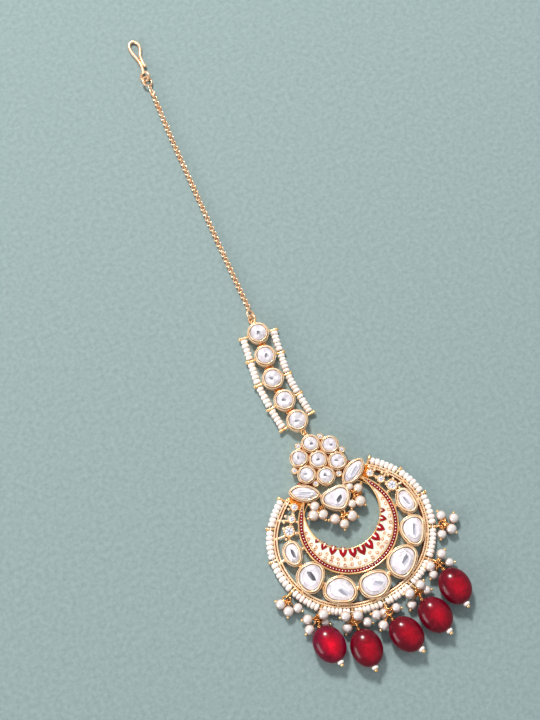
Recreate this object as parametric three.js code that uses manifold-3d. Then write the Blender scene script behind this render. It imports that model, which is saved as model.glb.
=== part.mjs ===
// A maang tikka lying on its back: a long chain with a hair hook, a strip of five round
// stones between two strings of seed beads, and a crescent pendant with a flower, white
// stones, pearl clusters and five red drops. Millimetres, +Z up, +Y towards the hook.
import * as THREE from "three";
import { mergeVertices } from "three/addons/utils/BufferGeometryUtils.js";
import Module from "manifold-3d";

const wasm = await Module();
wasm.setup();

// Fits
const CLEARANCE = 0.15; // between a stone or an enamel inlay and its seat
const SOLDER = 0.15; // how far soldered pieces run into each other

// Crescent, centred on the pendant's centre
const CRESCENT_RADIUS = 12.1;
const CRESCENT_HEIGHT = 2.1;
const HOLE_HALF_WIDTH = 9.0;
const HOLE_HALF_LENGTH = 9.4;
const HOLE_RISE = 3.7; // the hole's centre above the pendant's centre
const TIP_RISE = 9.3; // where the crescent's tips are cut off
const EDGE_WIDTH = 0.35; // gold edge beside the enamel
const BAND_WIDTH = 0.85; // red enamel band
const BAND_GAP = 0.2; // gold line between the band and the field
const BAND_END = 38; // degrees above the sides
const ENAMEL_DEPTH = 0.7;

// Rim, a grooved double ring round the pendant
const RIM_RADIUS = 18.4;
const RIM_WIDTH = 1.15;
const RIM_HEIGHT = 1.5;
const RIM_GROOVE = 0.45;
const RIM_CREST = 0.75; // the crests' places as a share of half the width
const RIM_SHIFT_X = -0.35;
const RIM_SHIFT_Y = -0.6;
// angle in degrees from straight down, reach as a share of RIM_RADIUS
const RIM_SECTIONS = [
  { angle: 0, reach: 1.0 },
  { angle: 22, reach: 1.018 },
  { angle: 45, reach: 1.04 },
  { angle: 67, reach: 1.027 },
  { angle: 90, reach: 0.995 },
  { angle: 106, reach: 0.957 },
  { angle: 124, reach: 0.895 },
  { angle: 140, reach: 0.853 },
];

// Closed-back settings with flat-cut stones
const BEZEL_WALL = 0.45;
const BEZEL_SLOPE = 0.06; // the wall leans in by this much
const SEAT_DEPTH = 1.2;
const STONE_TABLE = 0.68; // table as a share of the stone's outline
const STONE_CROWN = 0.6; // height of the bevelled facets
const BEZEL_HEIGHT = 2.6;

// Seven white stones between the crescent and the rim. Angle in degrees from straight
// down, reach as a share of the middle of that space, long and wide as shares of its
// width, turn of the long axis in degrees, egg is how far that end narrows
const WHITE_STONES = [
  { angle: -86.6, reach: 0.99, long: 0.93, wide: 0.68, turn: 82, egg: 0 },
  { angle: -60.2, reach: 1.02, long: 1.16, wide: 1.0, turn: 45, egg: 0.12 },
  { angle: -32.5, reach: 1.04, long: 1.24, wide: 1.0, turn: 152, egg: 0.1 },
  { angle: -1.8, reach: 1.015, long: 0.98, wide: 1.2, turn: 90, egg: 0.14 },
  { angle: 30.1, reach: 1.01, long: 1.27, wide: 1.03, turn: 33, egg: 0.0 },
  { angle: 59.8, reach: 1.01, long: 1.14, wide: 0.9, turn: 250, egg: 0.12 },
  { angle: 87.2, reach: 0.98, long: 1.0, wide: 0.67, turn: 97, egg: 0 },
];

// Small round stones on the shoulders, in beaded cups
const SHOULDER_CUP = 1.25; // radius of the largest
const SHOULDER_HEIGHT = 1.9;
// along is the share of the way up the shoulder, size is a share of SHOULDER_CUP
const SHOULDER_STONES = [
  { along: 0.1, size: 1.0 },
  { along: 0.55, size: 0.76 },
  { along: 1.0, size: 0.72 },
];
const SHOULDER_START = { x: 14.1, y: 3.7 };
const SHOULDER_END = { x: 10.1, y: 9.1 };

// Flower of seven round stones
const FLOWER_CENTRE = { x: 0.05, y: 17.15 };
const FLOWER_PITCH = 4.4;
const FLOWER_SPREAD = 1.08; // the side stones stand further apart than a true hexagon
const FLOWER_CUP = 2.1;
const FLOWER_HEIGHT = 3.0;
const FLOWER_PLATE = 1.2; // thickness of the plate behind
const PLATE_REACH = 5.6; // the plate's edge shows in the notches between the cups

// Pear stone and the two marquise stones above the hole
const PEAR_LENGTH = 5.6;
const PEAR_WIDTH = 7.0;
const PEAR_RISE = 6.7;
const MARQUISE_LENGTH = 7.9;
const MARQUISE_WIDTH = 3.5;
const MARQUISE_X = 6.5;
const MARQUISE_RISE = 11.0;
const MARQUISE_TURN = 30;
const TOP_HEIGHT = 2.9;
// plates behind each marquise stone: out and up in shares of MARQUISE_LENGTH
const MARQUISE_PLATES = [
  { out: -0.152, up: 0.2025, turn: 30, lens: true },
  { out: 0.316, up: -0.139, turn: 60, lens: false },
];
const PLATE_LONG = 0.6; // share of MARQUISE_LENGTH
const PLATE_WIDE = 0.9; // share of MARQUISE_WIDTH

// Bars that hold the open work together
const BAR_RADIUS = 0.4;
const BAR_HEIGHT = 0.9;
const SHOULDER_BARS = [105, 136]; // where they meet the rim, degrees from straight down
const CRESCENT_TIP = { x: 0.72, y: 0.66 }; // shares of CRESCENT_RADIUS

// Seed bead strings, and the eyelets that they run through
const SEED_RADIUS = 0.9;
const STRING_HEIGHT = 1.0; // of the rim's string above the back
const THREAD_RADIUS = 0.2;
const POST_RADIUS = 0.28; // posts run out below the thread between two beads
const POST_HEIGHT = 0.34;
const STRING_GAP = 1.45; // from the rim's middle to the string's middle
const POST_ANGLES = [0, 22.5, 43.7, 66, 90, 113.4, 137.7];
const HUNG_POSTS = 4; // the lowest four carry an eyelet for a cluster
const EYELET_RADIUS = 0.8;
const EYELET_WIRE = 0.22;
const EYELET_WIDTH = 0.5;
const EYELET_HEIGHT = 0.9;

// Strip of five round stones
const STRIP_CUP = 2.5;
const STRIP_HEIGHT = 3.0;
const STRIP_STRING = 3.9; // from a stone's centre to the bead string
const STRIP_POST = 0.9; // height of the side posts
const STRIP_LENGTH = 24.3; // from the lowest stone's centre to the highest's
// centres of the five stones from the flower's loop, bottom first, shares of STRIP_LENGTH
const STRIP_SECTIONS = [
  { aside: -0.0185, up: 0 },
  { aside: -0.0473, up: 0.2428 },
  { aside: -0.0597, up: 0.4979 },
  { aside: -0.0288, up: 0.749 },
  { aside: 0.0062, up: 1 },
];

// Small loops that link the flower, the strip and the pearl clusters
const LOOP_RADIUS = 0.65;
const LOOP_WIRE = 0.18;
const LOOP_HEIGHT = 1.6;

// Chain, rings and hook
const CHAIN_RADIUS = 0.75;
const CHAIN_LENGTH = 64.4;
// middle line from the end rings to the hook's ring, in shares of CHAIN_LENGTH
const CHAIN_SECTIONS = [
  { aside: 0, up: 0 },
  { aside: 0.0016, up: 0.1615 },
  { aside: 0.0039, up: 0.3168 },
  { aside: 0.0078, up: 0.472 },
  { aside: 0.0116, up: 0.6273 },
  { aside: 0.0155, up: 0.7826 },
  { aside: 0.0225, up: 0.9224 },
  { aside: 0.0264, up: 1 },
];
const LINK_WIRE = 0.3;
const END_RING = 1.05; // radius of the rings at the chain's ends
const HOOK_EYE = 1.15;
const HOOK_WIRE = 0.35;
const HOOK_LENGTH = 10.1;
const HOOK_WIDTH = 2.5;
const HOOK_RING_STRETCH = 2.0;
const END_RING_HEIGHT = 1.05;
// middle line of the hook's wire: out and up as shares of HOOK_WIDTH and HOOK_LENGTH
const HOOK_SECTIONS = [
  { out: 0.0, up: 0.0 },
  { out: 0.14, up: 0.14 },
  { out: 0.17, up: 0.3 },
  { out: 0.05, up: 0.52 },
  { out: -0.12, up: 0.72 },
  { out: -0.13, up: 0.87 },
  { out: 0.06, up: 0.98 },
  { out: 0.44, up: 1.0 },
  { out: 0.76, up: 0.92 },
  { out: 0.83, up: 0.78 },
  { out: 0.68, up: 0.65 },
  { out: 0.48, up: 0.54 },
  { out: 0.46, up: 0.42 },
  { out: 0.52, up: 0.32 },
];

// Red drops on head pins
const DROP_LENGTH = 9.0;
const DROP_WIDTH = 7.3;
const DROP_THICK = 5.4;
const DROP_BORE = 0.55;
const DROP_ROWS = 6; // rows of facets along a drop
const PIN_WIRE = 0.2;
const PIN_LOOP = 0.75;
const PIN_NECK = 0.5; // bare wire between the loop and the drop
const PIN_END = 1.5; // length of pin below the drop, for a seed bead and a ball

// Pearl clusters on rings
const PEARL = 1.3;
const RING_RADIUS = 0.95;
const RING_WIRE = 0.2;
const RING_TILT = 30; // degrees that the rings rise away from their posts
const PEARL_PIN = 0.16;

// One row for each post that carries a cluster, left to right. Degrees: lean of the ring
// and pin from straight down, turn of the drop. Pearls: place from the ring's middle in
// shares of PEARL, and size as a share of PEARL
const HANGERS = [
  {
    name: "side_left",
    post: -3,
    lean: -45,
    pearls: [
      { x: -1.6, y: 0.35, z: 0.1, size: 0.95 },
      { x: -1.0, y: -1.7, z: 0.0, size: 1.0 },
      { x: 0.95, y: -2.0, z: 0.0, size: 0.92 },
    ],
  },
  {
    name: "drop_1",
    post: -2,
    lean: -24,
    turn: 7,
    pearls: [
      { x: -2.2, y: 0.85, z: -0.2, size: 0.95 },
      { x: -2.7, y: -1.0, z: -0.2, size: 0.95 },
      { x: 1.15, y: 0.1, z: 1.3, size: 0.95 },
    ],
  },
  {
    name: "drop_2",
    post: -1,
    lean: 0,
    turn: -2,
    pearls: [
      { x: -1.3, y: 1.2, z: 1.3, size: 0.95 },
      { x: -2.0, y: -0.6, z: -0.2, size: 1.0 },
      { x: 1.3, y: 0.5, z: 1.2, size: 1.0 },
      { x: 2.0, y: -0.9, z: -0.2, size: 0.98 },
    ],
  },
  {
    name: "drop_3",
    post: 0,
    lean: -2,
    turn: 20,
    pearls: [
      { x: -2.3, y: 0.1, z: -0.1, size: 0.95 },
      { x: -1.2, y: -0.2, z: 1.4, size: 0.95 },
      { x: -2.0, y: -1.9, z: -0.2, size: 0.95 },
      { x: 1.5, y: -0.1, z: 0.1, size: 0.98 },
    ],
  },
  {
    name: "drop_4",
    post: 1,
    lean: 0,
    turn: 16,
    pearls: [
      { x: -1.4, y: 0.35, z: 1.0, size: 1.0 },
      { x: -1.8, y: -1.5, z: -0.2, size: 0.92 },
      { x: 1.1, y: 1.0, z: 1.4, size: 0.95 },
      { x: 2.0, y: -0.3, z: -0.1, size: 0.9 },
    ],
  },
  {
    name: "drop_5",
    post: 2,
    lean: 18,
    turn: 7,
    pearls: [
      { x: -1.4, y: 0.2, z: 1.2, size: 1.0 },
      { x: 1.6, y: 1.2, z: -0.1, size: 0.95 },
      { x: 2.1, y: -0.7, z: -0.1, size: 0.95 },
    ],
  },
  {
    name: "side_right",
    post: 3,
    lean: 90,
    pearls: [
      { x: 0.5, y: 1.5, z: 0.0, size: 0.98 },
      { x: 2.4, y: 0.1, z: 0.0, size: 1.0 },
      { x: 1.1, y: -1.6, z: 0.0, size: 1.0 },
      { x: -0.9, y: -1.75, z: 0.2, size: 0.9 },
    ],
  },
];

// Three clusters under the pear stone, in shares of PEARL from the ring's middle
const PEAR_CLUSTERS = [
  {
    name: "pear_cluster_left",
    loop: 0,
    pearls: [
      { x: -0.4, y: 1.2, z: 0.5, size: 0.9 },
      { x: -1.6, y: -0.3, z: 0.2, size: 1.0 },
      { x: 0.1, y: -1.4, z: 0.1, size: 0.92 },
    ],
  },
  {
    name: "pear_cluster_middle",
    loop: 1,
    pearls: [
      { x: -1.6, y: 0.1, z: 0.3, size: 0.98 },
      { x: -0.4, y: -1.5, z: 0.1, size: 0.9 },
      { x: 1.4, y: -0.7, z: 0.2, size: 1.0 },
    ],
  },
  {
    name: "pear_cluster_right",
    loop: 2,
    pearls: [
      { x: 1.0, y: 0.9, z: 0.2, size: 0.88 },
      { x: 0.5, y: -1.5, z: 0.1, size: 1.02 },
    ],
  },
];

const GOLD = { color: 0xd9a566, roughness: 0.25, metalness: 1 };
const WHITE_GLASS = { color: 0xece6f0, roughness: 0.08, metalness: 0 };
const RUBY_GLASS = { color: 0xa00d1e, roughness: 0.06, metalness: 0 };
const PEARL_WHITE = { color: 0xf3ece6, roughness: 0.3, metalness: 0 };
const SEED_WHITE = { color: 0xf6ece2, roughness: 0.45, metalness: 0 };
const CREAM_ENAMEL = { color: 0xf7e9d8, roughness: 0.25, metalness: 0 };
const RED_ENAMEL = { color: 0xa81222, roughness: 0.2, metalness: 0 };

const radians = THREE.MathUtils.degToRad;
const vector = (x, y, z) => new THREE.Vector3(x, y, z);

// Closed geometry as a solid that can be joined and cut
function solid(geometry) {
  const plain = geometry.index ? geometry.toNonIndexed() : geometry;
  const bare = new THREE.BufferGeometry();
  bare.setAttribute("position", plain.getAttribute("position"));
  const merged = mergeVertices(bare, 1e-4);
  const corners = merged.index.array;
  const kept = [];
  for (let i = 0; i < corners.length; i += 3) {
    const [a, b, c] = [corners[i], corners[i + 1], corners[i + 2]];
    if (a !== b && b !== c && c !== a) kept.push(a, b, c);
  }
  const triVerts = new Uint32Array(kept);
  const vertProperties = merged.attributes.position.array;
  return new wasm.Manifold(new wasm.Mesh({ numProp: 3, vertProperties, triVerts }));
}

function join(solids) {
  return solids.reduce((all, one) => all.add(one));
}

// Skin through rings of equal count that run counter-clockwise seen from the last one.
// A closed loft joins the last ring to the first, an open one has flat ends
function loft(rings, closed) {
  const count = rings[0].length;
  const points = rings.flat();
  const corners = [];
  const rows = closed ? rings.length : rings.length - 1;
  for (let row = 0; row < rows; row += 1) {
    const above = (row + 1) % rings.length;
    for (let i = 0; i < count; i += 1) {
      const next = (i + 1) % count;
      corners.push(row * count + i, row * count + next, above * count + next);
      corners.push(row * count + i, above * count + next, above * count + i);
    }
  }
  if (!closed) {
    const last = (rings.length - 1) * count;
    for (let i = 1; i < count - 1; i += 1) {
      corners.push(0, i + 1, i);
      corners.push(last, last + i, last + i + 1);
    }
  }
  const geometry = new THREE.BufferGeometry().setFromPoints(points);
  geometry.setIndex(corners);
  return solid(geometry);
}

function circle(radius, sides) {
  const points = [];
  for (let i = 0; i < sides; i += 1) {
    const angle = (2 * Math.PI * i) / sides;
    points.push(new THREE.Vector2(radius * Math.cos(angle), radius * Math.sin(angle)));
  }
  return points;
}

// Round wire or tube along a smooth path
function wire(points, radius, steps, sides) {
  const extrudePath = new THREE.CatmullRomCurve3(points);
  const section = new THREE.Shape(circle(radius, sides));
  return solid(new THREE.ExtrudeGeometry(section, { steps, extrudePath }));
}

function rod(from, to, radius, sides) {
  const along = to.clone().sub(from);
  const geometry = new THREE.CylinderGeometry(radius, radius, along.length(), sides);
  const turn = new THREE.Quaternion();
  turn.setFromUnitVectors(vector(0, 1, 0), along.normalize());
  geometry.applyQuaternion(turn);
  geometry.translate((from.x + to.x) / 2, (from.y + to.y) / 2, (from.z + to.z) / 2);
  return solid(geometry);
}

function ball(centre, radius, round, rows) {
  const geometry = new THREE.SphereGeometry(radius, round, rows);
  geometry.rotateX(Math.PI / 2);
  geometry.translate(centre.x, centre.y, centre.z);
  return solid(geometry);
}

// Ring whose hole looks along the direction face
function ring(centre, radius, thickness, face, round = 9, sides = 4) {
  const geometry = new THREE.TorusGeometry(radius, thickness, sides, round);
  const turn = new THREE.Quaternion();
  turn.setFromUnitVectors(vector(0, 0, 1), face.clone().normalize());
  geometry.applyQuaternion(turn);
  geometry.translate(centre.x, centre.y, centre.z);
  return solid(geometry);
}

// Flat washer-like eyelet, hole along the direction face
function eyelet(centre, face) {
  const shape = new THREE.Shape(circle(EYELET_RADIUS, 7));
  shape.holes.push(new THREE.Path(circle(EYELET_RADIUS - EYELET_WIRE, 6)));
  const options = { depth: EYELET_WIDTH, bevelEnabled: false };
  const geometry = new THREE.ExtrudeGeometry(shape, options);
  geometry.translate(0, 0, -EYELET_WIDTH / 2);
  const turn = new THREE.Quaternion();
  turn.setFromUnitVectors(vector(0, 0, 1), face.clone().normalize());
  geometry.applyQuaternion(turn);
  geometry.translate(centre.x, centre.y, centre.z);
  return solid(geometry);
}

// Ring of points that follows a stone's outline, grown outwards, at one height.
// An egg narrows towards the end of its long axis, a lens has two sharp tips
function outline(stone, grow, z) {
  const points = [];
  const turn = radians(stone.turn || 0);
  for (let i = 0; i < stone.facets; i += 1) {
    const angle = (2 * Math.PI * i) / stone.facets;
    const [c, s] = [Math.cos(angle), Math.sin(angle)];
    const bulge = stone.lens ? s * Math.abs(s) : s;
    const x = (stone.long / 2 + grow) * c;
    const y = (stone.wide / 2 + grow) * bulge * (1 - (stone.egg || 0) * c);
    const px = stone.x + x * Math.cos(turn) - y * Math.sin(turn);
    const py = stone.y + x * Math.sin(turn) + y * Math.cos(turn);
    points.push(vector(px, py, z));
  }
  return points;
}

// Block of metal that a stone's seat is cut into, a little wider at its foot
function bezel(stone) {
  return loft([outline(stone, BEZEL_SLOPE, 0), outline(stone, 0, stone.height)]);
}

function seat(stone) {
  const floor = stone.height - SEAT_DEPTH;
  return loft([outline(stone, -BEZEL_WALL, floor), outline(stone, -BEZEL_WALL, floor + 9)]);
}

// Stone with a flat table, a row of crown facets and a narrower base
function cutStone(stone) {
  const inset = -BEZEL_WALL - CLEARANCE;
  const floor = stone.height - SEAT_DEPTH + CLEARANCE;
  const girdle = stone.height - STONE_CROWN + CLEARANCE;
  const table = inset - (stone.wide / 2 + inset) * (1 - STONE_TABLE);
  return loft([
    outline(stone, inset, floor),
    outline(stone, inset, girdle),
    outline(stone, table, stone.height + CLEARANCE),
  ]);
}

// Small cup with its stone fused in
function stoneCup(x, y, radius, height) {
  const stone = { x, y, long: 2 * radius, wide: 2 * radius, facets: 8 };
  const crown = radius / 4;
  return loft([
    outline(stone, 0, 0),
    outline(stone, 0, height),
    outline(stone, -radius * 0.5, height + crown),
  ]);
}

// Place on the rim's middle line, moved outwards, angle in degrees from straight down
function rimPoint(angle, outwards, z) {
  const rows = RIM_SECTIONS;
  const side = Math.sign(angle) || 1;
  const size = Math.abs(angle);
  const reach = new THREE.CatmullRomCurve3(
    rows.map((row) => vector(row.angle, row.reach * 100, 0)),
  );
  let [low, high] = [0, 1];
  for (let i = 0; i < 30; i += 1) {
    const middle = (low + high) / 2;
    if (reach.getPoint(middle).x < size) low = middle;
    else high = middle;
  }
  const distance = (reach.getPoint(low).y / 100) * RIM_RADIUS + outwards;
  const turn = radians(size);
  const x = RIM_SHIFT_X + side * Math.sin(turn) * distance;
  const y = RIM_SHIFT_Y - Math.cos(turn) * distance;
  return vector(x, y, z);
}

function rimDirection(angle) {
  const before = rimPoint(Math.max(angle - 1, -140), 0, 0);
  const after = rimPoint(Math.min(angle + 1, 140), 0, 0);
  return after.sub(before).normalize();
}

// Rim from shoulder to shoulder, with a groove between its two wires
function rim() {
  const half = RIM_WIDTH / 2;
  const section = [
    { out: half, z: 0 },
    { out: half * RIM_CREST, z: RIM_HEIGHT },
    { out: 0, z: RIM_HEIGHT - RIM_GROOVE },
    { out: -half * RIM_CREST, z: RIM_HEIGHT },
    { out: -half, z: 0 },
  ];
  const rings = [];
  const [steps, end] = [30, RIM_SECTIONS.at(-1).angle];
  for (let i = 0; i <= steps; i += 1) {
    const angle = end - (2 * end * i) / steps;
    rings.push(section.map((point) => rimPoint(angle, point.out, point.z)));
  }
  return loft(rings);
}

// Upright prism on a circle or an ellipse
function disc(x, y, halfWidth, halfLength, from, to, sides) {
  const stone = { x, y, long: 2 * halfWidth, wide: 2 * halfLength, facets: sides };
  return loft([outline(stone, 0, from), outline(stone, 0, to)]);
}

function block(x, y, width, length, from, to) {
  const geometry = new THREE.BoxGeometry(width, length, to - from);
  geometry.translate(x, y, (from + to) / 2);
  return solid(geometry);
}

// Crescent shape between an outer circle and the hole, both moved in by inset
function crescent(outer, holeGrow, from, to, top) {
  const full = disc(0, 0, outer, outer, from, to, 40);
  const width = HOLE_HALF_WIDTH + holeGrow;
  const length = HOLE_HALF_LENGTH + holeGrow;
  const hole = disc(0, HOLE_RISE, width, length, from - 1, to + 1, 28);
  const above = block(0, top + outer, 4 * outer, 2 * outer, from - 1, to + 1);
  return full.subtract(hole).subtract(above);
}

function bandInner() {
  return CRESCENT_RADIUS - EDGE_WIDTH - BAND_WIDTH;
}

// Enamel field inside the band. Slack is how far its edges stay back from the recess
function fieldShape(slack, from, to) {
  const outer = bandInner() - BAND_GAP - slack;
  return crescent(outer, EDGE_WIDTH + slack, from, to, TIP_RISE - EDGE_WIDTH - slack);
}

function bandShape(slack, from, to) {
  const rings = [];
  const steps = 26;
  const [low, high] = [180 - BAND_END + slack * 5, 360 + BAND_END - slack * 5];
  const outer = CRESCENT_RADIUS - EDGE_WIDTH - slack;
  const inner = bandInner() + slack;
  for (let i = 0; i <= steps; i += 1) {
    const angle = radians(low + ((high - low) * i) / steps);
    const at = (r, z) => vector(r * Math.cos(angle), r * Math.sin(angle), z);
    rings.push([at(inner, from), at(inner, to), at(outer, to), at(outer, from)]);
  }
  return loft(rings);
}

// All stones that have seats of their own
function whiteStones() {
  const span = RIM_RADIUS - CRESCENT_RADIUS;
  const middle = (RIM_RADIUS + CRESCENT_RADIUS) / 2 + 0.15;
  return WHITE_STONES.map((row) => ({
    x: middle * row.reach * Math.sin(radians(row.angle)),
    y: -middle * row.reach * Math.cos(radians(row.angle)),
    long: span * row.long,
    wide: span * row.wide,
    turn: row.turn,
    egg: row.egg,
    facets: 10,
    height: BEZEL_HEIGHT,
  }));
}

function flowerStones() {
  const round = { long: 2 * FLOWER_CUP, wide: 2 * FLOWER_CUP, facets: 8 };
  const stones = [{ ...round, ...FLOWER_CENTRE, height: FLOWER_HEIGHT }];
  for (let i = 0; i < 6; i += 1) {
    const angle = radians(90 + 60 * i);
    const x = FLOWER_CENTRE.x + FLOWER_PITCH * FLOWER_SPREAD * Math.cos(angle);
    const y = FLOWER_CENTRE.y + FLOWER_PITCH * Math.sin(angle);
    stones.push({ ...round, x, y, height: FLOWER_HEIGHT });
  }
  return stones;
}

function marquiseStone(side) {
  return {
    x: side * MARQUISE_X,
    y: MARQUISE_RISE,
    long: MARQUISE_LENGTH,
    wide: MARQUISE_WIDTH,
    turn: side * MARQUISE_TURN,
    lens: true,
    facets: 10,
    height: TOP_HEIGHT,
  };
}

const PEAR_STONE = {
  x: 0.05,
  y: PEAR_RISE,
  long: PEAR_LENGTH,
  wide: PEAR_WIDTH,
  turn: -90,
  egg: 0.16,
  facets: 10,
  height: TOP_HEIGHT,
};

// Small stones on the shoulders
function smallCups() {
  const cups = [];
  for (const side of [-1, 1]) {
    for (const row of SHOULDER_STONES) {
      const x = THREE.MathUtils.lerp(SHOULDER_START.x, SHOULDER_END.x, row.along);
      const y = THREE.MathUtils.lerp(SHOULDER_START.y, SHOULDER_END.y, row.along);
      cups.push(stoneCup(side * x, y, SHOULDER_CUP * row.size, SHOULDER_HEIGHT));
    }
  }
  return cups;
}

function bar(x1, y1, x2, y2) {
  return rod(vector(x1, y1, BAR_HEIGHT), vector(x2, y2, BAR_HEIGHT), BAR_RADIUS, 5);
}

// Bars between the settings, the crescent and the rim. The wider settings meet the rim
function bars() {
  const stones = whiteStones();
  const made = [];
  for (let i = 0; i < stones.length; i += 1) {
    const angle = WHITE_STONES[i].angle;
    const slim = WHITE_STONES[i].wide < 0.8;
    const outer = slim ? rimPoint(angle, 0, 0) : stones[i];
    const inner = radians(angle);
    const x = (CRESCENT_RADIUS - 0.5) * Math.sin(inner);
    const y = -(CRESCENT_RADIUS - 0.5) * Math.cos(inner);
    made.push(bar(x, y, outer.x, outer.y));
  }
  for (const side of [-1, 1]) {
    const last = side < 0 ? stones[0] : stones.at(-1);
    const [low, high] = [SHOULDER_START, SHOULDER_END];
    made.push(bar(last.x, last.y, side * low.x, low.y));
    made.push(bar(side * low.x, low.y, side * high.x, high.y));
    const tip = { x: side * CRESCENT_RADIUS * CRESCENT_TIP.x, y: CRESCENT_RADIUS * CRESCENT_TIP.y };
    SHOULDER_BARS.forEach((angle, i) => {
      const share = i / (SHOULDER_BARS.length - 1);
      const x = THREE.MathUtils.lerp(low.x, high.x, share);
      const y = THREE.MathUtils.lerp(low.y, high.y, share);
      const outer = rimPoint(side * angle, 0, 0);
      made.push(bar(side * x, y, outer.x, outer.y));
    });
    made.push(bar(side * low.x, low.y, side * (CRESCENT_RADIUS - 0.6), low.y * 0.8));
    made.push(bar(side * high.x, high.y, tip.x, tip.y));
  }
  return made;
}

// Plates that carry the flower, the marquise stones and the crescent's tips
function plates() {
  const made = [];
  const { x, y } = FLOWER_CENTRE;
  made.push(disc(x, y, PLATE_REACH, PLATE_REACH, 0, FLOWER_PLATE, 12));
  for (const side of [-1, 1]) {
    const stone = marquiseStone(side);
    const tip = MARQUISE_LENGTH / 2;
    const turn = radians(MARQUISE_TURN);
    const inX = side * (MARQUISE_X - tip * Math.cos(turn) * 0.9);
    const inY = MARQUISE_RISE - tip * Math.sin(turn) * 0.9;
    made.push(bar(inX, inY, PEAR_STONE.x + side * PEAR_WIDTH * 0.36, PEAR_RISE + 1.6));
    for (const row of MARQUISE_PLATES) {
      const x = side * (MARQUISE_X + row.out * MARQUISE_LENGTH);
      const y = MARQUISE_RISE + row.up * MARQUISE_LENGTH;
      const under = { ...stone, x, y, turn: side * row.turn, lens: row.lens };
      under.long = MARQUISE_LENGTH * PLATE_LONG;
      under.wide = MARQUISE_WIDTH * PLATE_WIDE;
      made.push(loft([outline(under, 0, 0), outline(under, 0, FLOWER_PLATE)]));
    }
  }
  return made;
}

// Posts round the rim, on both sides, as places from -6 to 6
function postAngle(place) {
  return (Math.sign(place) || 1) * POST_ANGLES[Math.abs(place)];
}

function postPlaces() {
  const last = POST_ANGLES.length - 1;
  return Array.from({ length: 2 * last + 1 }, (_, i) => i - last);
}

function eyeletCentre(place) {
  const out = STRING_GAP + SEED_RADIUS + EYELET_RADIUS - SOLDER;
  return rimPoint(postAngle(place), out, EYELET_HEIGHT);
}

function rimPosts() {
  const made = [];
  for (const place of postPlaces()) {
    const angle = postAngle(place);
    const foot = rimPoint(angle, 0, POST_HEIGHT);
    const hung = Math.abs(place) < HUNG_POSTS;
    const reach = STRING_GAP + SEED_RADIUS + (hung ? SOLDER : 0);
    made.push(rod(foot, rimPoint(angle, reach, POST_HEIGHT), POST_RADIUS, 5));
    if (hung) made.push(eyelet(eyeletCentre(place), rimDirection(angle)));
  }
  return made;
}

// Loops on the pendant that the strip and the pearl clusters hang from
const TOP_LOOP = vector(
  FLOWER_CENTRE.x,
  FLOWER_CENTRE.y + FLOWER_PITCH + FLOWER_CUP + LOOP_RADIUS + LOOP_WIRE - SOLDER,
  LOOP_HEIGHT,
);
const PEAR_LOOPS = [
  { x: -0.95, y: -0.16, side: -1 },
  { x: 0.0, y: -1.0, side: 0 },
  { x: 0.95, y: -0.16, side: 1 },
];

function pearLoop(row) {
  const reach = LOOP_RADIUS + LOOP_WIRE - SOLDER;
  const direction = vector(row.x, row.y, 0).normalize();
  const x = PEAR_STONE.x + (row.x * PEAR_WIDTH) / 2 + direction.x * reach;
  const y = PEAR_STONE.y + (row.y * PEAR_LENGTH) / 2 + direction.y * reach;
  return { centre: vector(x, y, LOOP_HEIGHT), direction };
}

function pendantFrame() {
  const metal = [crescent(CRESCENT_RADIUS, 0, 0, CRESCENT_HEIGHT, TIP_RISE), rim()];
  const stones = [
    ...whiteStones(),
    ...flowerStones(),
    marquiseStone(-1),
    marquiseStone(1),
    PEAR_STONE,
  ];
  stones.forEach((stone) => metal.push(bezel(stone)));
  metal.push(...smallCups(), ...bars(), ...plates(), ...rimPosts());
  metal.push(ring(TOP_LOOP, LOOP_RADIUS, LOOP_WIRE, vector(1, 0, 1)));
  for (const row of PEAR_LOOPS) {
    const { centre, direction } = pearLoop(row);
    metal.push(ring(centre, LOOP_RADIUS, LOOP_WIRE, linkFace(direction, -1)));
  }
  const recess = CRESCENT_HEIGHT - ENAMEL_DEPTH;
  const cuts = stones.map((stone) => seat(stone));
  cuts.push(fieldShape(0, recess, CRESCENT_HEIGHT + 1));
  cuts.push(bandShape(0, recess, CRESCENT_HEIGHT + 1));
  return cuts.reduce((whole, cut) => whole.subtract(cut), join(metal));
}

// Centres of the strip's stones
const STRIP_BOTTOM = TOP_LOOP.y + STRIP_CUP + 2 * LOOP_RADIUS + CLEARANCE / 2;
const STRIP_ROUTE = STRIP_SECTIONS.map((row) => ({
  x: TOP_LOOP.x + row.aside * STRIP_LENGTH,
  y: STRIP_BOTTOM + row.up * STRIP_LENGTH,
}));

// Facing direction of a link that lies half turned about its path
function linkFace(direction, hand) {
  const side = vector(-direction.y, direction.x, 0);
  return side.multiplyScalar(hand).add(vector(0, 0, 1));
}

function stripDirection(i) {
  const low = STRIP_ROUTE[Math.max(i - 1, 0)];
  const high = STRIP_ROUTE[Math.min(i + 1, STRIP_ROUTE.length - 1)];
  return vector(high.x - low.x, high.y - low.y, 0).normalize();
}

function stripStone(i) {
  const size = { long: 2 * STRIP_CUP, wide: 2 * STRIP_CUP, facets: 10 };
  return { ...STRIP_ROUTE[i], ...size, height: STRIP_HEIGHT };
}

// Where the bead string passes a stone of the strip
function stripSide(i, side) {
  const along = stripDirection(i);
  const { x, y } = STRIP_ROUTE[i];
  const px = x + side * along.y * STRIP_STRING;
  const py = y - side * along.x * STRIP_STRING;
  return vector(px, py, LOOP_HEIGHT);
}

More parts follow.
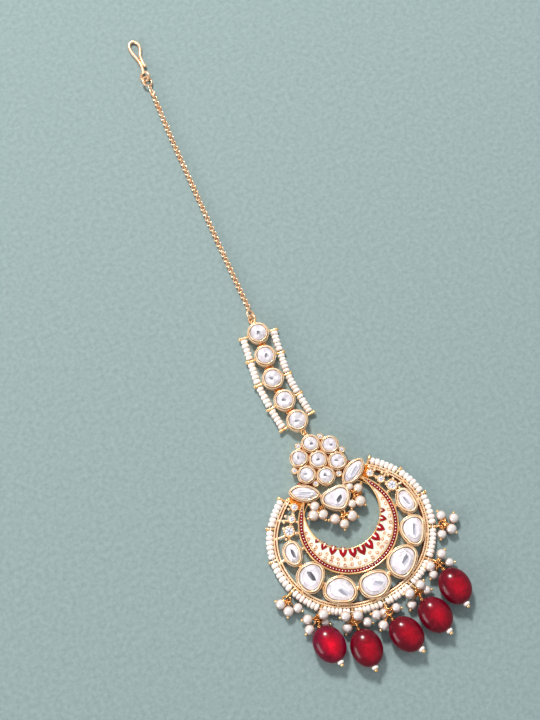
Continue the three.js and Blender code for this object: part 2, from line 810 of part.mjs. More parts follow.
// Five soldered cups with side eyelets for the strings and a loop at each end
function stripFrame() {
  const metal = [];
  STRIP_ROUTE.forEach((at, i) => {
    metal.push(bezel(stripStone(i)));
    for (const side of [-1, 1]) {
      const end = stripSide(i, side);
      const middle = vector(at.x, at.y, 0);
      const out = end.clone().sub(middle).setZ(0).normalize();
      end.addScaledVector(out, SEED_RADIUS).setZ(STRIP_POST);
      metal.push(rod(middle.setZ(STRIP_POST), end, POST_RADIUS, 5));
    }
    if (i > 0) {
      const low = STRIP_ROUTE[i - 1];
      const middle = { x: (low.x + at.x) / 2, y: (low.y + at.y) / 2 };
      metal.push(block(middle.x, middle.y, STRIP_CUP, STRIP_CUP, 0.3, FLOWER_PLATE));
    }
  });
  const reach = STRIP_CUP + LOOP_RADIUS + LOOP_WIRE - SOLDER;
  const bottom = vector(TOP_LOOP.x, STRIP_ROUTE[0].y - reach, LOOP_HEIGHT);
  bottom.x = THREE.MathUtils.lerp(STRIP_ROUTE[0].x, TOP_LOOP.x, 0.5);
  metal.push(ring(bottom, LOOP_RADIUS, LOOP_WIRE, vector(-1, 0, 1)));
  metal.push(ring(stripTopLoop(), LOOP_RADIUS, LOOP_WIRE, vector(-1, 0, 1)));
  const cuts = STRIP_ROUTE.map((at, i) => seat(stripStone(i)));
  return cuts.reduce((whole, cut) => whole.subtract(cut), join(metal));
}

// Tube through points that each have a radius of their own, level and eight-sided
function tube(points) {
  const rings = points.map((at, i) => {
    const before = points[Math.max(i - 1, 0)];
    const after = points[Math.min(i + 1, points.length - 1)];
    const along = vector(after.x - before.x, after.y - before.y, 0).normalize();
    return circle(at.radius, 8).map((point) => {
      return vector(at.x - along.y * point.x, at.y + along.x * point.x, at.z + point.y);
    });
  });
  return loft(rings);
}

// Tube of seeds from post to post, down to the bare thread where it passes a post
function beadString(spans) {
  const points = [];
  for (const span of spans) {
    const [start, end] = [span[0], span.at(-1)];
    const along = end.clone().sub(start).setLength(CLEARANCE);
    points.push({ ...start.clone().sub(along), radius: THREAD_RADIUS });
    span.forEach((at) => points.push({ ...at, radius: SEED_RADIUS }));
    points.push({ ...end.clone().add(along), radius: THREAD_RADIUS });
  }
  return tube(points);
}

function stripString(side) {
  const places = STRIP_ROUTE.map((at, i) => stripSide(i, side));
  const spans = [];
  for (let i = 1; i < places.length; i += 1) {
    const along = places[i].clone().sub(places[i - 1]).normalize();
    along.multiplyScalar(POST_RADIUS + CLEARANCE);
    const [start, end] = [places[i - 1].clone().add(along), places[i].clone().sub(along)];
    spans.push([start, end]);
  }
  return beadString(spans);
}

function rimString() {
  const places = postPlaces();
  const spans = [];
  const back = THREE.MathUtils.radToDeg((POST_RADIUS + CLEARANCE) / RIM_RADIUS);
  for (let i = 1; i < places.length; i += 1) {
    const [low, high] = [postAngle(places[i - 1]) + back, postAngle(places[i]) - back];
    spans.push([0, 0.5, 1].map((share) => {
      return rimPoint(THREE.MathUtils.lerp(low, high, share), STRING_GAP, STRING_HEIGHT);
    }));
  }
  return beadString(spans);
}

// Ring with pearls on pins, pearls placed from its middle in shares of PEARL
function cluster(centre, face, pearls) {
  const made = [ring(centre, RING_RADIUS, RING_WIRE, face)];
  const normal = face.clone().normalize();
  for (const pearl of pearls) {
    const out = vector(pearl.x, pearl.y, pearl.z).multiplyScalar(PEARL);
    const at = centre.clone().add(out);
    at.z = Math.max(at.z, pearl.size * PEARL);
    const flat = out.clone().addScaledVector(normal, -out.dot(normal)).normalize();
    const start = centre.clone().addScaledVector(flat, RING_RADIUS);
    const apart = start.distanceTo(at) > (pearl.size * PEARL) - SOLDER;
    if (apart) made.push(rod(start, at, PEARL_PIN, 4));
    made.push(ball(at, pearl.size * PEARL, 9, 4));
  }
  return join(made);
}

// Distance between the middles of two linked rings
function linkReach(firstRadius, firstWire, nextRadius, nextWire) {
  return firstRadius + nextRadius - firstWire - nextWire - CLEARANCE;
}

// Middles of the ring on a post's eyelet and of the pin loop that hangs from it
function hanger(row) {
  const lean = radians(row.lean);
  const tilt = radians(RING_TILT);
  const level = vector(Math.sin(lean), -Math.cos(lean), 0);
  const rise = level.clone().multiplyScalar(Math.cos(tilt)).setZ(Math.sin(tilt));
  const face = level.clone().multiplyScalar(-Math.sin(tilt)).setZ(Math.cos(tilt));
  const first = linkReach(EYELET_RADIUS, 1.5 * EYELET_WIRE, RING_RADIUS, RING_WIRE);
  const next = linkReach(RING_RADIUS, RING_WIRE, PIN_LOOP, PIN_WIRE);
  const ringAt = eyeletCentre(row.post).addScaledVector(rise, first);
  const loopAt = ringAt.clone().addScaledVector(rise, next);
  return { level, face, ringAt, loopAt };
}

// Axis of a drop as its start and its direction
function dropAxis(row) {
  const { level, loopAt } = hanger(row);
  const start = loopAt.clone().addScaledVector(level, PIN_LOOP + PIN_NECK);
  start.z = DROP_THICK / 2;
  const turn = radians(row.turn);
  return { start, along: vector(Math.sin(turn), -Math.cos(turn), 0) };
}

function dropBead(row) {
  const { start, along } = dropAxis(row);
  const edge = Math.acos(DROP_BORE / (DROP_WIDTH / 2));
  const profile = [];
  for (let i = 0; i <= DROP_ROWS; i += 1) {
    const angle = THREE.MathUtils.lerp(-edge, edge, i / DROP_ROWS);
    const x = (DROP_WIDTH / 2) * Math.cos(angle);
    profile.push(new THREE.Vector2(x, (DROP_LENGTH / 2) * Math.sin(angle)));
  }
  profile.push(profile[0].clone());
  const geometry = new THREE.LatheGeometry(profile, 12);
  geometry.scale(1, 1, DROP_THICK / DROP_WIDTH);
  geometry.rotateZ(Math.PI + Math.atan2(along.x, -along.y));
  const middle = start.clone().addScaledVector(along, DROP_LENGTH / 2);
  geometry.translate(middle.x, middle.y, middle.z);
  return solid(geometry);
}

// Head pin through a drop, with its loop
function dropPin(row) {
  const { level, loopAt } = hanger(row);
  const { start, along } = dropAxis(row);
  const side = vector(-level.y, level.x, 0);
  const made = [ring(loopAt, PIN_LOOP, PIN_WIRE, side)];
  const out = loopAt.clone().addScaledVector(level, PIN_LOOP);
  const low = start.clone().addScaledVector(along, DROP_LENGTH);
  const end = low.clone().addScaledVector(along, PIN_END);
  made.push(rod(out, start, PIN_WIRE * 0.9, 5));
  made.push(rod(start.clone().lerp(low, -0.02), end, PIN_WIRE, 4));
  return join(made);
}

function pearCluster(row) {
  const { centre, direction } = pearLoop(PEAR_LOOPS[row.loop]);
  const reach = linkReach(LOOP_RADIUS, LOOP_WIRE, RING_RADIUS, RING_WIRE);
  const middle = centre.clone().addScaledVector(direction, reach);
  return cluster(middle, linkFace(direction, 1), row.pearls);
}

function stripTopLoop() {
  const top = STRIP_ROUTE.at(-1);
  const reach = STRIP_CUP + LOOP_RADIUS + LOOP_WIRE - SOLDER;
  return vector(top.x + 0.15, top.y + reach, LOOP_HEIGHT);
}

// Two rings between the strip and the chain, linked to each other
const RINGS_UP = vector(0.1, 1, 0).normalize();

function endRingCentres() {
  const reach = linkReach(LOOP_RADIUS, LOOP_WIRE, END_RING, LINK_WIRE);
  const low = stripTopLoop().addScaledVector(RINGS_UP, reach).setZ(END_RING_HEIGHT);
  const next = linkReach(END_RING, LINK_WIRE, END_RING, LINK_WIRE);
  return [low, low.clone().addScaledVector(RINGS_UP, next)];
}

function endRings() {
  const [low, high] = endRingCentres();
  return [
    ring(low, END_RING, LINK_WIRE, linkFace(RINGS_UP, 1)),
    ring(high, END_RING, LINK_WIRE, linkFace(RINGS_UP, -1)),
  ];
}

function chainPoints() {
  const start = endRingCentres()[1].add(vector(LINK_WIRE, END_RING + LINK_WIRE + CLEARANCE, 0));
  return CHAIN_SECTIONS.map((row) => {
    const x = start.x + row.aside * CHAIN_LENGTH;
    return vector(x, start.y + row.up * CHAIN_LENGTH, CHAIN_RADIUS);
  });
}

function chain() {
  return wire(chainPoints(), CHAIN_RADIUS, 14, 8);
}

// Oval ring between the chain and the hook's eye
function hookRing() {
  const end = chainPoints().at(-1);
  const geometry = new THREE.TorusGeometry(END_RING, LINK_WIRE, 5, 12);
  geometry.scale(1, HOOK_RING_STRETCH, 1);
  geometry.rotateY(radians(40));
  const y = end.y + CLEARANCE + END_RING * HOOK_RING_STRETCH + LINK_WIRE * HOOK_RING_STRETCH;
  geometry.translate(end.x, y, END_RING_HEIGHT);
  return { made: solid(geometry), x: end.x, y };
}

// Hook: an eye and a tear-shaped wire loop that pins into the hair
function hairHook() {
  const { x, y } = hookRing();
  const eyeY = y + END_RING * HOOK_RING_STRETCH + HOOK_EYE - HOOK_WIRE - LINK_WIRE * 2;
  const eye = ring(vector(x, eyeY, END_RING_HEIGHT), HOOK_EYE, HOOK_WIRE, vector(-1, 0, 1.2));
  const base = eyeY + HOOK_EYE;
  const points = HOOK_SECTIONS.map((row) => {
    const z = THREE.MathUtils.lerp(END_RING_HEIGHT, HOOK_WIRE * 1.3, Math.min(1, row.up * 3));
    return vector(x + row.out * HOOK_WIDTH, base + row.up * HOOK_LENGTH, z);
  });
  return join([eye, wire(points, HOOK_WIRE, 18, 5)]);
}

const ornament = new THREE.Group();

function add(name, made, look) {
  const data = made.getMesh();
  const geometry = new THREE.BufferGeometry();
  const positions = new Float32Array(data.vertProperties);
  geometry.setAttribute("position", new THREE.BufferAttribute(positions, 3));
  geometry.setIndex(new THREE.BufferAttribute(new Uint32Array(data.triVerts), 1));
  geometry.computeVertexNormals();
  const mesh = new THREE.Mesh(geometry, new THREE.MeshStandardMaterial(look));
  mesh.name = name;
  ornament.add(mesh);
}

add("pendant_frame", pendantFrame(), GOLD);
whiteStones().forEach((stone, i) => add(`white_stone_${i + 1}`, cutStone(stone), WHITE_GLASS));
flowerStones().forEach((stone, i) => add(`flower_stone_${i + 1}`, cutStone(stone), WHITE_GLASS));
add("marquise_stone_left", cutStone(marquiseStone(-1)), WHITE_GLASS);
add("marquise_stone_right", cutStone(marquiseStone(1)), WHITE_GLASS);
add("pear_stone", cutStone(PEAR_STONE), WHITE_GLASS);
const inlayFloor = CRESCENT_HEIGHT - ENAMEL_DEPTH + CLEARANCE;
add("crescent_enamel", fieldShape(CLEARANCE, inlayFloor, CRESCENT_HEIGHT), CREAM_ENAMEL);
add("band_enamel", bandShape(CLEARANCE, inlayFloor, CRESCENT_HEIGHT), RED_ENAMEL);
add("strip_frame", stripFrame(), GOLD);
STRIP_ROUTE.forEach((at, i) => add(`strip_stone_${i + 1}`, cutStone(stripStone(i)), WHITE_GLASS));
add("strip_string_left", stripString(-1), SEED_WHITE);
add("strip_string_right", stripString(1), SEED_WHITE);
add("rim_string", rimString(), SEED_WHITE);
add("chain", chain(), GOLD);
endRings().forEach((made, i) => add(`end_ring_${i + 1}`, made, GOLD));
add("hook_ring", hookRing().made, GOLD);
add("hair_hook", hairHook(), GOLD);
for (const row of HANGERS) {
  const { ringAt, face } = hanger(row);
  add(`${row.name}_cluster`, cluster(ringAt, face, row.pearls), PEARL_WHITE);
  if (row.turn === undefined) continue;
  add(`${row.name}_bead`, dropBead(row), RUBY_GLASS);
  add(`${row.name}_pin`, dropPin(row), GOLD);
}
PEAR_CLUSTERS.forEach((row) => add(row.name, pearCluster(row), PEARL_WHITE));

// The origin is the middle of the bottom of the whole
const bounds = new THREE.Box3().setFromObject(ornament, true);
const middle = bounds.getCenter(new THREE.Vector3());
ornament.position.set(-middle.x, -middle.y, -bounds.min.z);
const group = new THREE.Group();
group.add(ornament);

export default group;
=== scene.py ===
"""Maang tikka lying on its back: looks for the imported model. Sizes are in millimetres from the
middle of the crescent, +Y towards the hook, and are turned into metres in the row frame."""

import math

import bpy
import numpy as np
from mathutils import Matrix, Vector


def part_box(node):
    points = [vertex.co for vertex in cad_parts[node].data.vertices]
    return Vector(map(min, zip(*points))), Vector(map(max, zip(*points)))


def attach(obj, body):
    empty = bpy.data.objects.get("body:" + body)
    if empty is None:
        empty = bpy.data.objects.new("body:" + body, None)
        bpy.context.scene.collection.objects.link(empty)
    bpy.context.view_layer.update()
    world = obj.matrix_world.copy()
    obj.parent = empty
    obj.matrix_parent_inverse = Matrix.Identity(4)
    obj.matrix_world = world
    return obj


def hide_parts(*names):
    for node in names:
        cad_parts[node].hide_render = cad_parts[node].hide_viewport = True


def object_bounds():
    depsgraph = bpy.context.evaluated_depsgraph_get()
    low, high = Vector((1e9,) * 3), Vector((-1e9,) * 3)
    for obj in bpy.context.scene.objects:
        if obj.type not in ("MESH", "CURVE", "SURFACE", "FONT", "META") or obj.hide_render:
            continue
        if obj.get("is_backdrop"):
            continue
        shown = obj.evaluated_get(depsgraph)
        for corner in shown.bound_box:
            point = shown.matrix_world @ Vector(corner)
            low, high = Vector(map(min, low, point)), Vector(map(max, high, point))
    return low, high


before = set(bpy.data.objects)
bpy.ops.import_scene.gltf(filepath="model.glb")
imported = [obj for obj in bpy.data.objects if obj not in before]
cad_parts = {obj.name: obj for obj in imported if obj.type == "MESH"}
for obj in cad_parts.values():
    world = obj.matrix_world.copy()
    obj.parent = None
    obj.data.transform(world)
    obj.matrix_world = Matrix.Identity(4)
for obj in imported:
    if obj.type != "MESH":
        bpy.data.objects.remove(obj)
cad_low, cad_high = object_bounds()

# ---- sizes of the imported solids

SCALE = 0.001
TURN = 2 * math.pi
RIM_RADIUS = 18.4
RIM_END = 140  # degrees from straight down to the rim's ends
CRESCENT_RADIUS = 12.1
HOLE = np.array([0.0, 3.7])  # middle of the crescent's hole
FLOWER = (0.05, 17.15)  # middle of the flower
CUP, CUP_STEP = 4.2, 4.4  # width of a flower cup, distance from cup to cup
STRIP_CUP = 2.5  # radius of a strip setting
STRIP_STRING = 3.9  # from the strip's middle line to a bead string
CUP_HEIGHT, WHITE_HEIGHT, TOP_HEIGHT, SHOULDER_HEIGHT = 3.0, 2.6, 2.9, 1.9
CUP_WALL, PEAR_WALL, STRIP_WALL = 0.42, 0.56, 0.46
SHOULDER_X, SHOULDER_Y = (14.1, 10.1), (3.7, 9.1)  # first and last stone of a shoulder
STRING_OUT = 1.45  # from the rim's middle line to its bead string
POST_OUT = STRING_OUT + 0.9
GAP = 0.15  # clearance of linked rings, and how deep a soldered ring sinks in
EYELET, EYELET_WIRE = 0.8, 0.33
EYELET_OUT = POST_OUT + EYELET - GAP
LOOP, LOOP_WIRE, LOOP_Z = 0.65, 0.18, 1.6
RING, RING_WIRE = 0.95, 0.2
PIN_LOOP, PIN_WIRE = 0.75, 0.2
END_RING, END_WIRE = 1.05, 0.3
DROP_LENGTH, DROP_Z = 9.0, 2.72
STRIP_LENGTH, CHAIN_LENGTH = 24.3, 64.4

stone_low, stone_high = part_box("flower_stone_1")
stone_middle = (np.array(stone_low) + np.array(stone_high)) / 2 / SCALE
# The crescent's middle in the row frame, from the flower's middle stone
ORIGIN = np.array([stone_middle[0] - FLOWER[0], stone_middle[1] - FLOWER[1], 0.0])
rng = np.random.default_rng(7)


def metres(points):
    return (np.asarray(points, float) + ORIGIN) * SCALE


# ---- materials


def surface(name, cloud, stops, fine, polish=None, bump=None, painted_top_light=False, shaded=False, **more):
    """A material. A cloudy noise picks its colour from the stops, a fine one its roughness.
    Bump says which of the two dents it (0 or 1), how strongly and how deep. The top-light
    switch paints light and shade: the colour rises with the upward normal, lighter on top.
    Shaded multiplies it by the face colour called shade, which holds painted reflections,
    highlights, shade and glow. An emission strength makes the colour glow: painted light."""
    made = bpy.data.materials.new(name)
    made.use_nodes = True
    nodes, links = made.node_tree.nodes, made.node_tree.links
    shader = nodes["Principled BSDF"]
    for key, value in more.items():
        shader.inputs[key.replace("_", " ")].default_value = value

    def add(kind, values=(), sources=()):
        node = nodes.new(kind)
        for socket, value in dict(values).items():
            node.inputs[socket].default_value = value
        for socket, source in dict(sources).items():
            links.new(source, node.inputs[socket])
        return node

    def noise(scale, detail, rough=0.55, distort=0.0):
        values = {"Scale": scale, "Detail": detail, "Roughness": rough, "Distortion": distort}
        return add("ShaderNodeTexNoise", values, {"Vector": place}).outputs["Fac"]

    place = add("ShaderNodeTexCoord").outputs["Object"]
    noises = noise(*cloud), noise(*fine)
    source = noises[0]
    # Painted light and shade: the ramp follows the upward normal, so tops come out lighter and
    # undersides darker.
    if painted_top_light:
        normal = add("ShaderNodeNewGeometry").outputs["Normal"]
        up = add("ShaderNodeSeparateXYZ", sources={"Vector": normal}).outputs["Z"]
        lift = add("ShaderNodeMath", {1: 0.2}, {0: source, 2: up})
        lift.operation = "MULTIPLY_ADD"
        source = lift.outputs["Value"]
    ramp = add("ShaderNodeValToRGB", sources={"Fac": source})
    while len(ramp.color_ramp.elements) < len(stops):
        ramp.color_ramp.elements.new(0.5)
    for element, (at, colour) in zip(ramp.color_ramp.elements, stops):
        element.position, element.color = at, (*colour, 1.0)
    colour = ramp.outputs["Color"]
    if shaded:
        shade = add("ShaderNodeVertexColor")
        shade.layer_name = "shade"
        mix = add("ShaderNodeMix", {"Factor": 1.0})
        mix.data_type, mix.blend_type = "RGBA", "MULTIPLY"
        links.new(shade.outputs["Color"], mix.inputs[6])
        links.new(colour, mix.inputs[7])
        colour = mix.outputs[2]
    links.new(colour, shader.inputs["Base Color"])
    # The colour also feeds the emission, so the glass glows by itself: painted light.
    if "Emission_Strength" in more:
        links.new(colour, shader.inputs["Emission Color"])
    if polish:
        spread = {"From Min": 0.3, "From Max": 0.7, "To Min": polish[0], "To Max": polish[1]}
        rough = add("ShaderNodeMapRange", spread, {"Value": noises[1]}).outputs["Result"]
        links.new(rough, shader.inputs["Roughness"])
    if bump:
        which, strength, depth = bump
        values = {"Strength": strength, "Distance": depth}
        dents = add("ShaderNodeBump", values, {"Height": noises[which]}).outputs["Normal"]
        links.new(dents, shader.inputs["Normal"])
    return made


def gold_material(name, dark, bright, low, high, dent, metal):
    """Plated metal: the colour and the polish wander, with fine casting marks."""
    stops, bump = [(0.35, dark), (0.68, bright)], (0, dent, 0.00006)
    return surface(name, (700, 4), stops, (5200, 2), (low, high), bump, Metallic=metal)


# A pearl whose colour rises with its upward normal: painted light on top, painted shade at the
# sides and below.
def pearl_material(name, low, middle, high, metal):
    return surface(
        name, (420, 3), [(0.25, low), (0.62, middle), (0.98, high)], (2600, 2), (0.16, 0.26),
        (1, 0.12, 0.00003), painted_top_light=True, Metallic=metal, Coat_Weight=1.0, Coat_Roughness=0.1,
        Subsurface_Weight=0.1, Subsurface_Scale=0.0005, Subsurface_Radius=(1.0, 0.8, 0.7),
        Sheen_Weight=0.15, Sheen_Tint=(1.0, 0.86, 0.82, 1.0),
    )


def enamel_material(name, low, middle, high, rough, coat, gloss=0.5):
    return surface(
        name, (620, 4), [(0.3, low), (0.5, middle), (0.7, high)], (2400, 2),
        (rough - 0.05, rough + 0.08), (0, 0.25, 0.00005),
        Coat_Weight=coat, Coat_Roughness=0.06, Specular_IOR_Level=gloss,
    )


# Dark and bright colour, lowest and highest roughness, depth of the dents, metallic share
GOLDS = {
    "gold_plate": [(0.92, 0.5, 0.18), (1.0, 0.74, 0.4), 0.17, 0.3, 0.35, 0.7],
    "gold_chain": [(0.85, 0.46, 0.23), (1.0, 0.74, 0.5), 0.16, 0.3, 0.35, 0.66],
    "gold_setting": [(0.98, 0.64, 0.34), (1.0, 0.88, 0.66), 0.2, 0.32, 0.5, 0.4],
    "gold_wire": [(0.5, 0.16, 0.03), (1.0, 0.56, 0.22), 0.14, 0.26, 0.3, 0.85],
    "gold_solder": [(0.6, 0.12, 0.006), (0.95, 0.34, 0.03), 0.22, 0.4, 0.6, 0.5],
    "gold_plate_back_painted_shade": [(0.3, 0.08, 0.012), (0.7, 0.27, 0.06), 0.25, 0.45, 0.5, 0.5],
    "gold_painted_shade": [(0.13, 0.02, 0.006), (0.32, 0.08, 0.02), 0.35, 0.55, 0.4, 0.4],
}
GOLD, ROSE_GOLD, SOFT_GOLD, WIRE_GOLD, DEEP_GOLD, PAINTED_SHADE_PLATE_GOLD, PAINTED_SHADE_GOLD = (
    gold_material(name, *row) for name, row in GOLDS.items()
)
# Flat-cut glass over foil, each facet with its own shade from the face colour: painted
# reflections, painted highlights and painted shade
STONE = surface(
    "cut_glass_white", (900, 3), [(0.3, (0.86, 0.84, 0.9)), (0.6, (1, 1, 1))], (900, 3),
    (0.1, 0.24), shaded=True, Metallic=0.12, IOR=1.55, Coat_Weight=1.0, Coat_Roughness=0.015,
)
SEED_COLOURS = [(0.3, (0.88, 0.75, 0.66)), (0.55, (0.94, 0.85, 0.79)), (0.75, (0.96, 0.91, 0.88))]
SEED = surface(
    "seed_bead_cream", (380, 2), SEED_COLOURS, (3000, 2), (0.28, 0.42), (1, 0.2, 0.00004),
    Coat_Weight=0.35, Coat_Roughness=0.15, Subsurface_Weight=0.12, Subsurface_Scale=0.0005,
)
# Cloudy red glass with a clear polish. Its core is painted lighter than its edge, as light glowing
# through it, and a weak emission makes it glow: painted light
RUBY = surface(
    "red_glass_drop", (560, 6, 0.75, 0.9), [(0.36, (0.52, 0.4, 0.4)), (0.62, (1.06, 1.0, 1.0))],
    (2600, 3), (0.14, 0.24), shaded=True, IOR=1.5, Transmission_Weight=0.1,
    Specular_IOR_Level=0.22, Emission_Strength=0.3, Subsurface_Weight=0.2,
    Subsurface_Scale=0.0025, Subsurface_Radius=(1.0, 0.08, 0.06),
)
FLOOR_COLOURS = [(0.3, (0.185, 0.255, 0.255)), (0.7, (0.255, 0.34, 0.34))]
FLOOR = surface(
    "pale_floor", (900, 4, 0.7), FLOOR_COLOURS, (900, 4), bump=(0, 0.25, 0.0001), Roughness=0.85
)
# Three colours from dark to light, then a pearl's metallic share
PEARLS = {
    "pearl_white_painted_top_light": [(0.42, 0.25, 0.16), (0.7, 0.57, 0.5), (0.87, 0.81, 0.78), 0.35],
    # The honey copy is painted darker and browner: painted shade and painted reflection of the
    # gold round the pearls under the pear stone.
    "pearl_honey_painted_shade_and_reflection": [(0.32, 0.13, 0.05), (0.65, 0.46, 0.33), (0.9, 0.81, 0.73), 0.4],
}
PEARL, PEARL_PAINTED_DARKER = (pearl_material(name, *row) for name, row in PEARLS.items())
# Three colours from dark to light, then an enamel's roughness, coat and gloss
ENAMELS = {
    "enamel_cream": [(0.78, 0.58, 0.42), (0.9, 0.8, 0.67), (0.95, 0.9, 0.83), 0.2, 0.7],
    "enamel_red": [(0.13, 0.0, 0.002), (0.2, 0.0, 0.004), (0.27, 0.0, 0.006), 0.16, 0.1, 0.25],
    "enamel_petal": [(0.18, 0.0, 0.003), (0.3, 0.0, 0.007), (0.4, 0.001, 0.01), 0.16, 0.1, 0.25],
    "enamel_dots": [(0.86, 0.72, 0.62), (0.94, 0.87, 0.8), (0.97, 0.94, 0.9), 0.25, 0.4],
    "enamel_curls": [(0.5, 0.15, 0.04), (0.7, 0.31, 0.11), (0.82, 0.47, 0.22), 0.25, 0.4],
}
CREAM, RED, PETAL, DOT, CURL = (enamel_material(name, *row) for name, row in ENAMELS.items())


# ---- meshes


def add_object(name, data):
    made = bpy.data.objects.new(name, data)
    bpy.context.scene.collection.objects.link(made)
    return made


class Piece:
    """Points and faces gathered from many small parts, each face with its material."""

    def __init__(self):
        self.points, self.faces, self.slots, self.flat, self.shades = [], [], [], [], []
        self.materials, self.count = [], 0

    def add(self, points, faces, material, flat=False, shades=None):
        """Takes points as one list or as rows of them."""
        if material not in self.materials:
            self.materials.append(material)
        points = np.asarray(points, float).reshape(-1, 3)
        self.points.append(points)
        self.faces += [[i + self.count for i in face] for face in faces]
        self.slots += [self.materials.index(material)] * len(faces)
        self.flat += [flat] * len(faces)
        self.shades += shades or [(1.0, 1.0, 1.0)] * len(faces)
        self.count += len(points)

    def make(self, name, slot, *nodes):
        mesh = bpy.data.meshes.new(name)
        mesh.from_pydata(metres(np.concatenate(self.points)).tolist(), [], self.faces)
        for material in self.materials:
            mesh.materials.append(material)
        mesh.polygons.foreach_set("material_index", self.slots)
        mesh.polygons.foreach_set("use_smooth", [not flat for flat in self.flat])
        if STONE in self.materials or RUBY in self.materials:
            layer = mesh.color_attributes.new("shade", "FLOAT_COLOR", "CORNER")
            colours = []
            for face, shade in zip(self.faces, self.shades):
                colours += [(*shade, 1.0)] * len(face)
            layer.data.foreach_set("color", np.array(colours, float).ravel())
        mesh.update()
        made = add_object(name, mesh)
        if nodes:
            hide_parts(*nodes)
        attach(made, "root")


def grid_faces(rows, columns, closed_rows=False, closed_columns=True):
    """Quads between neighbouring rows of points."""
    i, j = np.mgrid[: rows - (not closed_rows), : columns - (not closed_columns)]
    up, side = (i + 1) % rows, (j + 1) % columns
    corners = (i * columns + j, i * columns + side, up * columns + side, up * columns + j)
    return np.stack(corners, -1).reshape(-1, 4).tolist()


def end_faces(rows, columns):
    """The two faces that close the first and the last row."""
    last = (rows - 1) * columns
    return [tuple(range(columns))[::-1], tuple(range(last, rows * columns))]


def capped_faces(rows, columns):
    return grid_faces(rows, columns) + end_faces(rows, columns)


def unit(v):
    v = np.asarray(v, float)
    return v / (np.linalg.norm(v) or 1.0)


def at_height(points, z):
    """Points of the plane, lifted to one height or each to its own."""
    return np.column_stack([points, np.full(len(points), z)])


def turned(x, y, angle):
    """Plane coordinates turned by an angle in radians."""
    return x * math.cos(angle) - y * math.sin(angle), x * math.sin(angle) + y * math.cos(angle)


def downward(angle):
    """Unit vector that leaves straight down by an angle in degrees."""
    turn = math.radians(angle)
    return np.array([math.sin(turn), -math.cos(turn), 0.0])


def across(along, z=0.0):
    """The direction turned left by a quarter in the plane, at a height."""
    return np.array([-along[1], along[0], z])


def square_frame(axis):
    """Two unit vectors across an axis."""
    axis = unit(axis)
    helper = np.array([0.0, 0, 1]) if abs(axis[2]) < 0.9 else np.array([1.0, 0, 0])
    first = unit(np.cross(helper, axis))
    return first, np.cross(axis, first)


def circle(count):
    """Cosines and sines of evenly spaced angles."""
    angles = np.linspace(0, TURN, count, endpoint=False)
    return np.cos(angles), np.sin(angles)


def lathe(piece, centre, axis, profile, material, sides=16):
    """Turns (radius, height) pairs round an axis. Poles are rows of radius near zero."""
    axis = unit(axis)
    first, second = square_frame(axis)
    c, s = circle(sides)
    around = np.outer(c, first) + np.outer(s, second)
    points = [np.asarray(centre) + r * around + h * axis for r, h in profile]
    piece.add(points, grid_faces(len(profile), sides), material)


def ball(piece, centre, radius, material, sides=14, rows=9, squash=1.0, axis=(0, 0, 1)):
    angles = np.linspace(-math.pi / 2 + 0.02, math.pi / 2 - 0.02, rows)
    profile = [(radius * math.cos(a), radius * squash * math.sin(a)) for a in angles]
    lathe(piece, centre, axis, profile, material, sides)


def smooth_path(points, count, closed=False):
    """Points on a smooth curve through the given points, evenly spaced in parameter."""
    points = np.asarray(points, float)
    n = len(points)
    made = []
    spans = n if closed else n - 1
    for k in range(count):
        t = k * spans / (count if closed else count - 1)
        i = min(int(t), spans - 1)
        u = t - i
        pick = [(i + d) % n if closed else min(max(i + d, 0), n - 1) for d in (-1, 0, 1, 2)]
        a, b, c, d = points[pick]
        square, cube = 2 * a - 5 * b + 4 * c - d, 3 * b - a - 3 * c + d
        made.append(0.5 * (2 * b + (c - a) * u + square * u * u + cube * u**3))
    return np.array(made)


class Route:
    """A line of points, measured along its length."""

    def __init__(self, points):
        self.points = np.asarray(points)
        gaps = np.linalg.norm(np.diff(self.points, axis=0), axis=1)
        self.steps = np.concatenate([[0], np.cumsum(gaps)])
        self.length = self.steps[-1]

    def at(self, way):
        return np.array([np.interp(way, self.steps, column) for column in self.points.T])

    def along(self, way, reach):
        return unit(self.at(way + reach) - self.at(way - reach))


def tube(piece, path, radius, material, sides=8, closed=False):
    """Round wire along a path, with rounded ends. Radius is one number or one for each point."""
    path = np.asarray(path, float)
    radii = np.full(len(path), radius) if np.isscalar(radius) else np.asarray(radius, float)
    ahead = np.roll(path, -1, 0) - np.roll(path, 1, 0)
    if not closed:
        ahead[0], ahead[-1] = path[1] - path[0], path[-1] - path[-2]
        first = path[0] - unit(ahead[0]) * radii[0] * 0.6
        last = path[-1] + unit(ahead[-1]) * radii[-1] * 0.6
        path = np.vstack([first, path, last])
        ahead = np.vstack([ahead[0], ahead, ahead[-1]])
        radii = np.concatenate([[radii[0] * 0.35], radii, [radii[-1] * 0.35]])
    c, s = circle(sides)
    side, _ = square_frame(ahead[0])
    rings = []
    for at, along, r in zip(path, ahead, radii):
        along = unit(along)
        side = unit(side - along * side.dot(along))
        rings.append(at + r * (np.outer(c, side) + np.outer(s, np.cross(along, side))))
    faces = grid_faces(len(path), sides, True) if closed else capped_faces(len(path), sides)
    piece.add(rings, faces, material)


def ring(piece, centre, radius, thick, face, material, round_=20, sides=8, long=1.0, along=None):
    """Wire ring whose hole looks along face, stretched by long in the direction along."""
    face = unit(face)
    first, second = square_frame(face)
    if along is not None:
        first = unit(np.asarray(along) - face * np.dot(along, face))
        second = np.cross(face, first)
    c, s = circle(round_)
    path = np.asarray(centre) + radius * (long * np.outer(c, first) + np.outer(s, second))
    tube(piece, path, thick, material, sides, closed=True)


def small_loop(piece, centre, face):
    ring(piece, centre, LOOP, LOOP_WIRE, face, GOLD, 18, 8)


def link_reach(radius, wire, other, other_wire):
    """Distance between the middles of two linked rings."""
    return radius + other - wire - other_wire - GAP


def seed(piece, centre, axis, radius, width, material, sides=14):
    """Pierced bead: a rounded ring."""
    half = [(0.28, 0.7), (0.5, 1.0), (0.78, 0.84), (0.95, 0.5), (1.0, 0.0)]
    shares = [(r, -h) for r, h in half] + half[-2::-1]
    profile = [(radius * r, width / 2 * h) for r, h in shares]
    lathe(piece, centre, axis, profile, material, sides)


